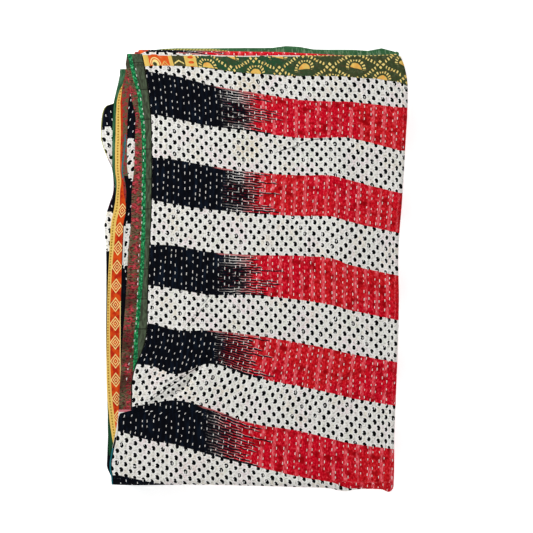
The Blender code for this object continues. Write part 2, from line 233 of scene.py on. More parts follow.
def eased(keys, values, places):
    """The values at places between the keys, along a smooth curve."""
    places = np.clip(places, keys[0], keys[-1])
    k = np.clip(np.searchsorted(keys, places) - 1, 0, len(keys) - 2)
    before, after = np.maximum(k - 1, 0), np.minimum(k + 2, len(keys) - 1)
    span = keys[k + 1] - keys[k]
    share = (places - keys[k]) / span
    slope_low = (values[k + 1] - values[before]) / (keys[k + 1] - keys[before]) * span
    slope_high = (values[after] - values[k]) / (keys[after] - keys[k]) * span
    cube, square = share**3, share**2
    return (
        (2 * cube - 3 * square + 1) * values[k]
        + (cube - 2 * square + share) * slope_low
        + (3 * square - 2 * cube) * values[k + 1]
        + (cube - square) * slope_high
    )


def column(table, name):
    return np.array([getattr(row, name) for row in table])


def mix(low, high, share):
    return low + (high - low) * share


def by_way_of(share, cut, start, middle, end):
    """From start to middle, where the share reaches the cut, then on to end."""
    first = mix(start, middle, share / cut)
    return np.where(share < cut, first, mix(middle, end, (share - cut) / (1 - cut)))


def edge_x(name, down):
    """The x of one of the edges at places down the quilt, (stretch, share) arrays."""
    stretch, share = down
    top = eased(column(TOP_RUN, "down"), column(TOP_RUN, name), share * TOP_RUN[-1].down)
    meets = column(MEETINGS, name)
    run = stretch // 2
    lower = mix(meets[np.maximum(run - 1, 0)], meets[run], np.where(stretch % 2, 1.0, share))
    return np.where(stretch == 0, top, lower)


def end_y(name, x):
    return eased(column(ENDS, "x"), column(ENDS, name), x)


def across_place(across, down, side):
    """(x, height in the run, length across from the side band's seam)."""
    stretch, share = across
    open_x, band_x = edge_x("open_edge", down), edge_x("band", down)
    turn_x = edge_x("turn", down) - OUTER_TURN - CLOTH / 2
    fold_x = edge_x("fold", down) + INNER_TURN + CLOTH / 2
    second_x = edge_x("second_edge", down)
    half = side * CLOTH / 2
    angle = math.pi * share
    sine, cosine = np.sin(angle), np.cos(angle)
    top_x = by_way_of(share, SIDE_SHARE, open_x, band_x, turn_x)
    last_x = by_way_of(share, 1 - FAR_SHARE, turn_x, second_x + FAR_SIDE_WIDTH, second_x)
    top_length = turn_x - band_x
    after_turn = top_length + math.pi * OUTER_TURN
    bottom_length = turn_x - fold_x
    after_fold = after_turn + bottom_length + math.pi * INNER_TURN
    after_inner = after_fold + bottom_length + math.pi * INNER_TURN
    parts = (
        (top_x, OUTER_TURN + half, top_x - band_x),
        (turn_x + (OUTER_TURN + half) * sine, (OUTER_TURN + half) * cosine, top_length + OUTER_TURN * angle),
        (mix(turn_x, fold_x, share), -OUTER_TURN - half, after_turn + bottom_length * share),
        (
            fold_x - (INNER_TURN + half) * sine,
            -PITCH - (INNER_TURN + half) * cosine,
            after_turn + bottom_length + INNER_TURN * angle,
        ),
        (mix(fold_x, turn_x, share), -INNER_TURN + half, after_fold + bottom_length * share),
        (
            turn_x + (INNER_TURN - half) * sine,
            -(INNER_TURN - half) * cosine,
            after_fold + bottom_length + INNER_TURN * angle,
        ),
        (last_x, INNER_TURN - half, after_inner + turn_x - last_x),
    )
    shape = np.broadcast(share, band_x).shape
    chosen = [stretch == k for k in range(len(parts))]
    return [
        np.select([np.broadcast_to(c, shape) for c in chosen], [np.broadcast_to(p[i], shape) for p in parts])
        for i in range(3)
    ]


def down_place(down, x, height):
    """(y, z) of places down the quilt, from the x and height of places across it."""
    stretch, share = down
    run = stretch // 2
    middle = RUN_MIDDLES[run]
    foot = end_y("foot", x) + FOOT_REACH
    head = end_y("head", x) - FOOT_REACH
    low_foot = end_y("low_foot", x) + FOOT_REACH
    hem, far_hem = end_y("hem", x), end_y("far_hem", x)
    facing = np.where(run % 2 == 0, 1, -1)
    first_y = by_way_of(share, END_SHARE, hem, hem - end_y("band", x), foot)
    last_y = by_way_of(share, 1 - FAR_END_SHARE, low_foot, far_hem - FAR_END_WIDTH, far_hem)
    run_y = [first_y, mix(foot, head, share), mix(head, low_foot, share)]
    flat_y = np.select([run == k for k in range(LAYERS - 1)], run_y, last_y)
    centre = np.select([run == 0, run == 1], [foot, head], low_foot)
    reach = RUN_PITCH / 2 + facing * height
    angle = math.pi * share
    turning = stretch % 2 == 1
    y = np.where(turning, centre - facing * reach * np.sin(angle), flat_y)
    z = np.where(turning, middle - RUN_PITCH / 2 + reach * np.cos(angle), middle + facing * height)
    return y, z


def rise_of(swells, x, y):
    total = 0.0
    for s in swells:
        turn = math.radians(s.turn)
        along = (x - s.x) * math.cos(turn) + (y - s.y) * math.sin(turn)
        aside = (y - s.y) * math.cos(turn) - (x - s.x) * math.sin(turn)
        total = total + s.rise * np.exp(-((along / s.half_long) ** 2) - (aside / s.half_wide) ** 2)
    return total


WAVES = ((1.00, 0.35, 0.2), (-0.45, 1.10, 1.7), (0.80, -0.95, 3.1), (0.15, 1.45, 4.4), (1.50, 0.60, 5.6))


def unevenness(x, y, length):
    """A gentle random-looking rise from -1 to 1 whose waves are about that long."""
    total = 0.0
    for across, along, start in WAVES:
        total = total + np.sin(2 * math.pi * (across * x + along * y) / length + start)
    return total / len(WAVES)


def quilting_row(across):
    """The number of the row of running stitch on the top layer, with its fraction."""
    share = across[1]
    side = share / SIDE_SHARE * SIDE_ROWS
    field = SIDE_ROWS + (share - SIDE_CUT) / (1 - SIDE_CUT) * FIELD_ROWS
    return np.where(share < SIDE_CUT, side, field)


def row_start(row):
    """How far a row's stitches are shifted along it, as a share of their pitch."""
    return np.mod(0.5 * row + 0.23 * np.sin(1.7 * row) + 0.13 * np.sin(4.1 * row), 1.0)


def quilting(across, down, y):
    """The relief of the stitched rows: grooves, deeper where a stitch pulls the cloth in."""
    row = quilting_row(across)
    between = np.abs(np.sin(math.pi * row))
    nearest = np.round(row)
    along = y / STITCH_PITCH + row_start(nearest) + 0.08 * np.sin(9 * y / STITCH_PITCH + nearest)
    pull = 0.5 + 0.5 * np.cos(2 * math.pi * along)
    groove = -QUILTING_DEPTH * (1 - between) * (0.45 + 0.65 * pull)
    pucker = PUCKER * np.sin(2 * math.pi * (2.1 * along + 0.3 * row)) * (1 - 0.6 * between)
    wide = (edge_x("band", down) - edge_x("open_edge", down)) / (SIDE_ROWS * QUILTING_PITCH)
    return (groove + pucker) * np.where(across[1] < SIDE_CUT, np.minimum(wide, 1.0), 1.0)


def foot_bulge(across, down, x):
    """How far the top layer bulges out at places of the foot turn."""
    reach = sum(b.reach * np.exp(-(((x - b.x) / b.half_wide) ** 2)) for b in FOOT_BULGES)
    reach = reach * np.sin(math.pi * down[1]) * (1 - across[0] * across[1])
    return np.where((down[0] == 1) & (across[0] < 2), reach, 0.0)


def place(across, down, side):
    """The points of the folded quilt at places of its cloth, and lengths across them."""
    x, height, length = across_place(across, down, side)
    y, z = down_place(down, x, height)
    end_share = np.where(down[0] == 0, 1 - down[1], down[1])
    at_an_end = (down[0] == 0) | (down[0] == len(DOWN_CUTS) - 1)
    to_left = np.clip((LEFT_STEP[1] - x) / (LEFT_STEP[1] - LEFT_STEP[0]), 0, 1)
    step_back = STEP_BACK + np.where(down[0] == 0, LEFT_STEP_BACK * to_left, 0.0)
    step_back = step_back * np.minimum(across[0] / 2, 1.0) * end_share**STEP_BACK_POWER
    y = y - np.where(at_an_end, step_back, 0.0) - foot_bulge(across, down, x)
    z = z * (1 + (rise_of(SWELLS, x, y) + PACKET_UNEVEN * unevenness(x, y, PACKET_WAVE)) / HEIGHT)
    # The top layer has creases, and quilting on its front.
    off_foot, off_turn = y - end_y("foot", x), edge_x("turn", down) - x
    fade = np.clip((off_foot - FOOT_REACH) / EDGE_FADE, 0, 1) * np.clip(off_turn / EDGE_FADE, 0, 1)
    near_turns = np.clip(off_foot / FOOT_REACH, 0, 1) * np.clip(off_turn / TURN_FADE, 0, 1)
    creases = fade * rise_of(CREASES, x, y)
    fine = rise_of(FINE_CREASES, x, y) + LAYER_UNEVEN * unevenness(x, y, LAYER_WAVE)
    creases = creases + near_turns * fine
    if side > 0:
        creases = creases + near_turns * quilting(across, down, y)
    z = z + np.where((down[0] == 0) & (across[0] == 0), creases, 0.0)
    return np.stack(np.broadcast_arrays(x, y, z), axis=-1), length


# ---------------------------------------------------------------------------
# Steps along the zigzags, and the mesh between them
# ---------------------------------------------------------------------------
LAYER_WIDTH = TOP_RUN[0].turn - TOP_RUN[0].band
RUN_LENGTH = TOP_RUN[-1].down
SIDE_CUT = SIDE_SHARE + SEAM / LAYER_WIDTH
FAR_CUT = 1 - FAR_SHARE - SEAM / LAYER_WIDTH
END_CUT = END_SHARE + SEAM / RUN_LENGTH
FAR_END_CUT = 1 - FAR_END_SHARE - SEAM / RUN_LENGTH
SIDE_ROWS = 4
FIELD_ROWS = round(LAYER_WIDTH / QUILTING_PITCH)
PLAIN_CUTS = ((0.0, 1.0),) * 5
ACROSS_CUTS = ((0.0, SIDE_SHARE, SIDE_CUT, 1.0),) + PLAIN_CUTS + ((0.0, FAR_CUT, 1 - FAR_SHARE, 1.0),)
EDGE_STEPS = tuple(down / RUN_LENGTH for down in (0.068, 0.074, 0.4765, 0.481, 0.553))
FIRST_CUTS = (0.0, END_SHARE, END_CUT) + EDGE_STEPS + (1.0,)
DOWN_CUTS = (FIRST_CUTS,) + PLAIN_CUTS + ((0.0, FAR_END_CUT, 1 - FAR_END_SHARE, 1.0),)
LOWER_TAIL = ((10,), (9,), (8,), (9,), (6,), (9, 1, 6))
TOP_FACES = ((5 * SIDE_ROWS, 1, 4 * FIELD_ROWS),) + LOWER_TAIL
LOWER_FACES = ((6, 1, 18),) + LOWER_TAIL
DOWN_FACES = ((12, 1, 16, 4, 176, 2, 38, 8), (10,), (24,), (8,), (24,), (8,), (22, 1, 4))


def steps(cuts, faces, first, last):
    """Places (stretch, share) along a zigzag, with even faces between its cuts."""
    found = []
    for stretch, (marks, counts) in enumerate(zip(cuts, faces)):
        for low, high, count in zip(marks, marks[1:], counts):
            found += [(stretch, mix(low, high, k / count)) for k in range(count)]
    found.append((len(cuts) - 1, 1.0))
    return [step for step in found if first <= step <= last]


SHARP_TURN = math.radians(60)


def as_arrays(places):
    return np.array([p[0] for p in places]), np.array([p[1] for p in places])


PAST_THE_LAST = (99, 0)


def strip(faces, one, two):
    """Faces between two rows of (place, vertex) that start and end at the same places."""
    i = j = 0
    while i < len(one) - 1 or j < len(two) - 1:
        next_one = one[i + 1][0] if i < len(one) - 1 else PAST_THE_LAST
        next_two = two[j + 1][0] if j < len(two) - 1 else PAST_THE_LAST
        if next_one == next_two:
            faces.append((one[i][1], one[i + 1][1], two[j + 1][1], two[j][1]))
            i, j = i + 1, j + 1
        elif next_one < next_two:
            faces.append((one[i][1], one[i + 1][1], two[j][1]))
            i += 1
        else:
            faces.append((one[i][1], two[j + 1][1], two[j][1]))
            j += 1


# Where the strips of the side bands lie, from the seam and from the far band's edge.
SideMark = namedtuple("SideMark", "y stripe")
SIDE_MARKS = (
    SideMark(-0.150, -0.0060),
    SideMark(-0.1295, 0.0010),
    SideMark(-0.115, 0.0068),
    SideMark(-0.095, 0.0130),
    SideMark(-0.076, 0.0135),
    SideMark(-0.024, 0.0100),
    SideMark(0.0215, 0.0092),
    SideMark(0.100, 0.0107),
    SideMark(0.171, 0.0106),
    SideMark(0.206, 0.0126),
    SideMark(0.226, 0.0128),
    SideMark(0.250, 0.0160),
    SideMark(0.2685, 0.0166),
)
FarMark = namedtuple("FarMark", "y green yellow orange")
FAR_MARKS = (
    FarMark(-0.250, 0.0120, 0.0120, 0.0120),
    FarMark(-0.232, 0.0068, 0.0130, 0.0180),
    FarMark(-0.205, 0.0031, 0.0098, 0.0182),
    FarMark(-0.174, 0.0000, 0.0066, 0.0184),
    FarMark(-0.127, -0.0010, 0.0052, 0.0186),
    FarMark(-0.073, -0.0010, 0.0040, 0.0178),
    FarMark(-0.024, -0.0010, 0.0041, 0.0172),
    FarMark(0.051, -0.0010, 0.0065, 0.0161),
    FarMark(0.072, -0.0005, 0.0068, 0.0157),
    FarMark(0.0975, 0.0010, 0.0060, 0.0106),
    FarMark(0.1125, 0.0030, 0.0091, 0.0118),
    FarMark(0.171, 0.0041, 0.0109, 0.0131),
    FarMark(0.2125, 0.0038, 0.0088, 0.0112),
    FarMark(0.2300, 0.0046, 0.0070, 0.0072),
    FarMark(0.2380, 0.0064, 0.0064, 0.0064),
    FarMark(0.2570, 0.0072, 0.0072, 0.0072),
)


# The suns printed along the end band, by length along it, and how far from its hem they lie.
Sun = namedtuple("Sun", "number length low")
SUNS = (
    Sun(-1, 0.0183, 0.0180),
    Sun(0, 0.0828, 0.0143),
    Sun(1, 0.1439, 0.0222),
    Sun(2, 0.2085, 0.0157),
    Sun(3, 0.2765, 0.0146),
    Sun(4, 0.3405, 0.0112),
    Sun(23, 1.5660, 0.0112),
)


def stripe_number(x, y):
    """How many stripe widths a place of the top layer lies below the first edge."""
    rows = [eased(STRIPE_X, np.array(edge), x) for edge in STRIPE_EDGES]
    found = (rows[0] - y) / STRIPE
    for number, (upper, lower) in enumerate(zip(rows, rows[1:])):
        found = np.where(y < upper, number + (upper - y) / (upper - lower), found)
    return np.where(y < rows[-1], len(rows) - 1 + (rows[-1] - y) / STRIPE, found)


def printed(across, down, points, length):
    """The cloth's print: length across, length down and its lean; how it is sewn; its ombre."""
    x, y = points[..., 0], points[..., 1]
    band_x = edge_x("band", down)
    left, right = STRIPE_X[1], STRIPE_X[-1]
    folds = np.select([across[0] < 2, across[0] < 5], [0.0, 1.0], 2.0)
    stretch_y = np.where(down[0] == 0, y, end_y("foot", x) + FOOT_REACH)
    top = stripe_number(x, stretch_y)
    at_left = stripe_number(left + 0 * x, stretch_y + SLANT_OF_LAYERS * folds)
    under = mix(at_left, stripe_number(right + 0 * x, stretch_y), np.clip((x - left) / (right - left), 0, 1))
    down_length = np.where(across[0] < 2, top, under) * STRIPE
    turn_length = math.pi * (RUN_PITCH / 2 + OUTER_TURN)
    run_length = RUN_LENGTH + turn_length
    at_head = HEAD_PRINT + eased(HEAD_X, HEAD_OFFSET, x)
    past_foot = down_length + turn_length
    stretches = [
        down_length,
        down_length + down[1] * turn_length,
        mix(past_foot, at_head, down[1]),
        at_head + down[1] * turn_length,
    ]
    past_head = at_head + turn_length + (down[0] - 4) / 2 * run_length + down[1] * RUN_LENGTH
    down_length = np.select([down[0] == k for k in range(len(stretches))], stretches, past_head)
    start_x = np.interp(stretch_y, START_Y, START_X)
    # More of the print shows past an uneven left fold, and where the right edge curls.
    past_fold = 2 * (edge_x("fold", down) - FOLD_X) * np.clip(across[0] - 3 + across[1], 0, 1)
    curl = np.where(across[0] == 0, np.clip((across[1] - CURL_CUT) / (1 - CURL_CUT), 0, 1), 1.0)
    length = length + band_x - start_x + past_fold + CURL * curl**2
    ombre = (x - start_x) * np.where(down[0] < 2, 1.0, LOWER_OMBRE)
    on_top = (across[0] == 0) & (down[0] == 0)
    row = np.where(on_top, quilting_row(across), length / QUILTING_PITCH)
    edging = np.where(across[0] == 3, np.sin(math.pi * across[1]), 0.0)
    to_left, to_right = (stripe_number(x + step, stretch_y) for step in (-LEAN_STEP, LEAN_STEP))
    lean = (to_right - to_left) * STRIPE / (2 * LEAN_STEP)
    return {
        "print": (length, down_length, np.where((down[0] == 0) & (across[0] < 2), lean, 0.0)),
        "sewn": (row, edging, np.where(on_top, 0.0, 1.0)),
        "ombre": (ombre,),
    }


def printed_end(across, down, points, length):
    """The end bands' print: length across, distance from the hem; and the lattice of suns."""
    x, y = points[..., 0], points[..., 1]
    from_hem = np.where(down[0] == 0, end_y("hem", x), end_y("far_hem", x)) - y
    number = np.interp(length, column(SUNS, "length"), column(SUNS, "number"))
    low = eased(column(SUNS, "length"), column(SUNS, "low"), length)
    return {"print": (length, from_hem, x), "lattice": (number, from_hem - low, x)}


def printed_side(across, down, points, length):
    """The side band's print: distance down, distance from its seam and from its stripe."""
    x, y = points[..., 0], points[..., 1]
    down_length = (down[0] + down[1]) * RUN_LENGTH
    from_seam = edge_x("band", down) - x
    marks = eased(column(SIDE_MARKS, "y"), column(SIDE_MARKS, "stripe"), y)
    return {"print": (down_length, from_seam, from_seam - marks)}


def printed_far_side(across, down, points, length):
    """The far band's print: distance down and from its edge; and where its strips end."""
    x, y = points[..., 0], points[..., 1]
    down_length = (down[0] + down[1]) * RUN_LENGTH
    marks = [eased(column(FAR_MARKS, "y"), column(FAR_MARKS, name), y) for name in FarMark._fields[1:]]
    return {"print": (down_length, x - edge_x("second_edge", down), 0.0), "marks": marks}


def panel(name, across, down, print_of, material):
    """One piece of the quilt, from one place to another across and down."""
    fine = steps(ACROSS_CUTS, TOP_FACES, *across)
    coarse = steps(ACROSS_CUTS, LOWER_FACES, *across)
    points, prints, lines, faces = [], {}, [], []
    count = 0
    for step in steps(DOWN_CUTS, DOWN_FACES, *down):
        line = {}
        for side in (1, -1):
            samples = fine if side > 0 and step < (2, 0.0) else coarse
            at = as_arrays(samples)
            here = (np.full(len(samples), step[0]), np.full(len(samples), step[1]))
            found, length = place(at, here, side)
            points.append(found)
            for kind, values in print_of(at, here, found, length).items():
                values = np.broadcast_arrays(*values, found[:, 0])[:-1]
                prints.setdefault(kind, []).append(np.stack(values, axis=-1))
            line[side] = [(s, count + k) for k, s in enumerate(samples)]
            count += len(samples)
        lines.append(line)
    for above, below in zip(lines, lines[1:]):
        for side in (1, -1):
            strip(faces, above[side], below[side])
        for end in (0, -1):
            faces.append((above[1][end][1], above[-1][end][1], below[-1][end][1], below[1][end][1]))
    for line in (lines[0], lines[-1]):
        strip(faces, line[1], line[-1])
    mesh = bpy.data.meshes.new(name)
    mesh.from_pydata(np.concatenate(points).tolist(), [], faces)
    for kind, values in prints.items():
        values = np.concatenate(values).astype(np.float32)
        form, field = ("FLOAT", "value") if values.shape[1] == 1 else ("FLOAT_VECTOR", "vector")
        mesh.attributes.new(kind, form, "POINT").data.foreach_set(field, values.ravel())
    piece = linked(name, mesh)
    face_outwards(mesh)
    mesh.shade_smooth()
    mesh.set_sharp_from_angle(angle=SHARP_TURN)
    mesh.materials.append(material)
    return piece


def linked(name, data):
    """A new object in the scene, at the origin."""
    made = bpy.data.objects.new(name, data)
    bpy.context.scene.collection.objects.link(made)
    return made


def face_outwards(mesh):
    bm = bmesh.new()
    bm.from_mesh(mesh)
    bmesh.ops.recalc_face_normals(bm, faces=bm.faces[:])
    bm.to_mesh(mesh)
    bm.free()


# ---------------------------------------------------------------------------
# Prints and finishes
# ---------------------------------------------------------------------------
def dye(red, green, blue):
    """A colour given as the eye reads it, 0 to 255, as the light that it throws back."""
    shades = [v / 255 for v in (red, green, blue)]
    return tuple(v / 12.92 if v <= 0.04045 else ((v + 0.055) / 1.055) ** 2.4 for v in shades) + (1.0,)


NAVY_BLACK = dye(5, 7, 15)
NAVY_SHEEN = dye(14, 26, 42)
OFF_WHITE = dye(236, 234, 227)
WARM_STAIN = dye(230, 216, 190)
PINK_STAIN = dye(240, 220, 224)
GREEN_STAIN = dye(226, 230, 214)
BRIGHT_WHITE = dye(255, 254, 251)
# Painted shade in the hollows of the quilting's puckers.
PUCKER_SHADE = dye(160, 158, 150)
DOT_BLACK = dye(3, 3, 5)
DEEP_RED = dye(156, 0, 10)
RED = dye(212, 6, 36)
WARM_RED = dye(212, 28, 30)
PALE_RED = dye(240, 84, 96)
PINK_CORE = dye(244, 168, 170)
SALMON = dye(212, 116, 116)
UNDYED_LINE = dye(222, 217, 212)
MURKY_RED = dye(16, 5, 12)
MURKY_LINE = dye(112, 8, 26)
SELVEDGE_PLUM = dye(74, 40, 60)
SELVEDGE_GREEN = dye(176, 176, 104)
HEM_GREEN = dye(70, 122, 80)
DARK_HEM_GREEN = dye(46, 96, 62)
PALE_HEM_GREEN = dye(146, 182, 146)
EDGING_YELLOW = dye(214, 206, 120)
EDGING_OLIVE = dye(112, 124, 60)
BAND_GREEN = dye(42, 82, 54)
BAND_OLIVE = dye(70, 72, 44)
WORN_GREEN = dye(104, 112, 84)
BROWN_GREEN = dye(84, 70, 50)
GOLD = dye(248, 226, 140)
SUN_ORANGE = dye(240, 176, 84)
STRIP_ORANGE = dye(228, 92, 34)
STRIP_YELLOW = dye(238, 200, 104)
PALE_YELLOW = dye(250, 228, 150)
SIDE_BROWN = dye(112, 84, 66)
SIDE_RED = dye(154, 52, 54)
SIDE_PINK = dye(204, 72, 84)
DUSTY_ROSE = dye(146, 88, 84)
SIDE_GREEN = dye(78, 96, 62)
SEAM_SHADE = dye(24, 24, 20)
SPRIG_SHADE = dye(58, 24, 22)
STITCHED_GREEN = dye(46, 156, 92)
DEEP_GREEN = dye(18, 88, 52)
MINT = dye(116, 206, 152)
SIDE_OLIVE = dye(84, 98, 76)
DARK_OLIVE = dye(60, 66, 52)
PINK_LINE = dye(214, 120, 132)
EDGE_TEAL = dye(34, 112, 122)
LEFT_GREEN = dye(30, 80, 48)
LEFT_PALE_GREEN = dye(92, 138, 104)
CHAIN_BROWN = dye(176, 128, 40)
DIAMOND_ORANGE = dye(222, 78, 24)
DIAMOND_RED = dye(188, 40, 20)
DIAMOND_CREAM = dye(250, 222, 142)
THREAD = dye(255, 254, 251)
THREAD_SHADE = dye(242, 239, 232)

# Spots of noise laid over a colour: how long they are across and along, how fine they go,
# their seed, the noise at which they start and are full, how strong they are and their dye.
Stain = namedtuple("Stain", "across along detail seed start full strength dye")


def worked(operation):
    """A method of Wire that gives it and what follows to a node of that operation."""
    return lambda wire, *others: wire.paint.math(operation, wire, *others)


class Wire:
    """A number in a material's nodes that adds, multiplies and compares like a plain one."""

    def __init__(self, paint, socket):
        self.paint = paint
        self.socket = socket

    __add__ = __radd__ = worked("ADD")
    __sub__ = worked("SUBTRACT")
    __mul__ = __rmul__ = worked("MULTIPLY")
    __truediv__ = worked("DIVIDE")
    __lt__ = worked("LESS_THAN")
    __gt__ = worked("GREATER_THAN")
    __or__ = worked("MAXIMUM")
    floor = worked("FLOOR")
    part = worked("FRACT")
    size = worked("ABSOLUTE")

    def __rsub__(self, other):
        return self.paint.math("SUBTRACT", other, self)

    def off_middle(self):
        """How far it is from the middle of its repeat of one, from 0 to a half."""
        return (self.part() - 0.5).size()

    def rise(self, low, high):
        """0 below low and 1 above high, with a soft step between."""
        node = self.paint.node("ShaderNodeMapRange", interpolation_type="SMOOTHSTEP")
        for name, value in (("Value", self), ("From Min", low), ("From Max", high)):
            self.paint.feed(node.inputs[name], value)
        return Wire(self.paint, node.outputs["Result"])

    def between(self, low, high):
        return (self > low) * (self < high)


THREAD_TURNS = 2 * math.pi / 0.0011  # radians a metre, for threads 1.1 mm apart
MIX_LOW, MIX_HIGH, MIX_RESULT = 6, 7, 2  # where a mix node's colours are among its sockets


class Paint:
    """A material whose print is worked out from places on the cloth."""

    def __init__(self, name, roughness=0.95):
        self.material = bpy.data.materials.new(name)
        self.material.use_nodes = True
        self.tree = self.material.node_tree
        self.shader = self.tree.nodes["Principled BSDF"]
        self.shader.inputs["Roughness"].default_value = roughness
        self.shader.inputs["Specular IOR Level"].default_value = 0.08

    def node(self, kind, **settings):
        node = self.tree.nodes.new(kind)
        for name, value in settings.items():
            setattr(node, name, value)
        return node

    def feed(self, socket, value):
        if isinstance(value, Wire):
            self.tree.links.new(value.socket, socket)
        else:
            socket.default_value = value

    def math(self, operation, *values):
        node = self.node("ShaderNodeMath", operation=operation)
        for socket, value in zip(node.inputs, values):
            self.feed(socket, value)
        return Wire(self, node.outputs[0])

    def split(self, socket):
        node = self.node("ShaderNodeSeparateXYZ")
        self.tree.links.new(socket, node.inputs[0])
        return [Wire(self, out) for out in node.outputs]

    def three(self, name):
        """The three numbers of one of the piece's attributes."""
        return self.split(self.node("ShaderNodeAttribute", attribute_name=name).outputs["Vector"])

    def one(self, name):
        """The number that is one of the piece's attributes."""
        return Wire(self, self.node("ShaderNodeAttribute", attribute_name=name).outputs["Fac"])

    def object_places(self):
        return self.split(self.node("ShaderNodeTexCoord").outputs["Object"])

    def vector(self, x, y, z):
        node = self.node("ShaderNodeCombineXYZ")
        for socket, value in zip(node.inputs, (x, y, z)):
            self.feed(socket, value)
        return Wire(self, node.outputs[0])

    def mottle(self, x, y, length, along=None, detail=2.0, seed=0.0):
        """Smooth noise from 0 to 1, its spots that long across and along."""
        node = self.node("ShaderNodeTexNoise")
        self.feed(node.inputs["Vector"], self.vector(x / length, y / (along or length), seed))
        node.inputs["Scale"].default_value = 1.0
        node.inputs["Detail"].default_value = detail
        return Wire(self, node.outputs["Fac"])

    def wander(self, reach, x, y, length, along=None, detail=2.0, seed=0.0):
        """The same noise either side of nothing, that far from end to end."""
        return (self.mottle(x, y, length, along, detail, seed) - 0.5) * reach

    def chance(self, x, y, seed=0.0):
        """Three random numbers from 0 to 1 for each whole x and y."""
        node = self.node("ShaderNodeTexWhiteNoise", noise_dimensions="3D")
        self.feed(node.inputs["Vector"], self.vector(x + 0.5, y + 0.5, seed))
        return self.split(node.outputs["Color"])

    def length(self, x, y):
        return self.math("SQRT", x * x + y * y)

    def least(self, x, y):
        return self.math("MINIMUM", x, y)

    def blend(self, share, low, high):
        """The low colour where share is 0 and the high one where it is 1."""
        node = self.node("ShaderNodeMix", data_type="RGBA")
        self.feed(node.inputs["Factor"], share)
        self.feed(node.inputs[MIX_LOW], low)
        self.feed(node.inputs[MIX_HIGH], high)
        return Wire(self, node.outputs[MIX_RESULT])

    def over(self, colour, *layers):
        """The colour with each layer, how much it covers and its colour, laid over it in turn."""
        for share, layer in layers:
            colour = self.blend(share, colour, layer)
        return colour

    def stained(self, colour, x, y, *stains):
        """The colour with stains laid over it in turn."""
        for s in stains:
            spots = self.mottle(x, y, s.across, s.along, s.detail, s.seed)
            colour = self.blend(spots.rise(s.start, s.full) * s.strength, colour, s.dye)
        return colour

    def weave(self, strength=0.5):
        """The colour's bump: crossing threads, slubs and the puckers of hand quilting."""
        x, y = self.object_places()[:2]
        threads = self.math("SINE", x * THREAD_TURNS) * self.math("SINE", y * THREAD_TURNS)
        relief = threads * 0.00003 + self.mottle(x, y, 0.0017, detail=3.0, seed=3.0) * 0.00034
        relief = relief + self.mottle(x, y, 0.0075, 0.0032, detail=3.0, seed=8.0) * 0.0009
        relief = relief + self.mottle(x + y * 0.5, y, 0.0042, 0.013, seed=18.0) * 0.0007
        node = self.node("ShaderNodeBump")
        node.inputs["Strength"].default_value = strength
        node.inputs["Distance"].default_value = 1.0
        self.feed(node.inputs["Height"], relief)
        self.tree.links.new(node.outputs["Normal"], self.shader.inputs["Normal"])

    def finish(self, colour):
        self.feed(self.shader.inputs["Base Color"], colour)
        return self.material


# The white stripes' dots: how far apart, half their width and length, the notch that makes
# half-moons of them and the hollow in a few.
DOT_PITCH = 0.0119
DOT_ROW = 0.0074
FIRST_DOT_ROW = 0.30
DOT_WIDE = 0.0025
DOT_LONG = 0.0030
DOT_LEAN = 0.14
DOT_STRAY = (0.0012, 0.0011)
DOT_MIDDLE = 0.0002
DOT_ROUGHNESS = 0.36
NOTCH = 0.0014
NOTCH_X = -0.0029
NOTCH_STRAY = 0.0022
HOLLOW = 0.0009
HOLLOW_X = -0.0003
HOLLOW_SHARE = 0.015
SEEDS_APART = 37  # keeps the random numbers of two stripes apart
Spill = namedtuple("Spill", "x y half_wide half_high")
SPILLS = (
    Spill(-0.008, 0.154, 0.026, 0.026),
    Spill(-0.008, 0.236, 0.022, 0.018),
)

# The change from black to red.
OMBRE_START = 0.087
OMBRE_LENGTH = 0.076
LINE_PITCH = 0.0034
FRINGE = 0.0017

# What shows off the top layer: black painted as shadow in the left folds, the selvedge and the corner of the
# head.
Patch = namedtuple("Patch", "low_x high_x low_y high_y")
FOLD_SHADOWS = (
    Patch(-1.0, -0.178, -1.0, -0.228),
    Patch(-1.0, -0.170, -0.200, 0.020),
    Patch(-0.176, -0.150, -0.180, -0.035),
)
SELVEDGE_END = 0.075
PLUM_START = 0.140
HEAD_CORNER = 0.268
CORNER_SLANT = 2.0
CORNER_X = -0.138
CORNER_Y = 0.2830


def dots(p, a, b, below_edge, lean):
    """Half-moon dots in staggered rows, and the bare cloth round them, below_edge under an edge."""
    down = below_edge / DOT_ROW + FIRST_DOT_ROW
    row = down.floor()
    stagger = (row * 0.5).part() * DOT_PITCH
    across = (a + stagger + p.wander(0.003, a, b, 0.03, seed=5.0)) / DOT_PITCH
    stripe = (b / (2 * STRIPE)).floor()
    stray_x, stray_y, size = p.chance(across.floor() + stripe * SEEDS_APART, row)
    x = (across.part() - 0.5) * DOT_PITCH + (stray_x - 0.5) * DOT_STRAY[0]
    y = (down.part() - 0.5) * DOT_ROW + (stray_y - 0.5) * DOT_STRAY[1] - x * lean
    rough = p.wander(DOT_ROUGHNESS, a, b, 0.0017, seed=9.0)
    reach = p.length((x - y * DOT_LEAN) / DOT_WIDE, y / DOT_LONG) + rough
    notch = p.length(x - NOTCH_X, y - DOT_MIDDLE + (stray_x - 0.5) * NOTCH_STRAY) < NOTCH
    hollow = (p.length(x - HOLLOW_X, y - DOT_MIDDLE) < HOLLOW) * (size > 1 - HOLLOW_SHARE)
    halo = 1 - reach.rise(1.2, 1.9)
    return (reach < 1.02 + (size - 0.5) * 0.16) * (1 - notch) * (1 - hollow), halo


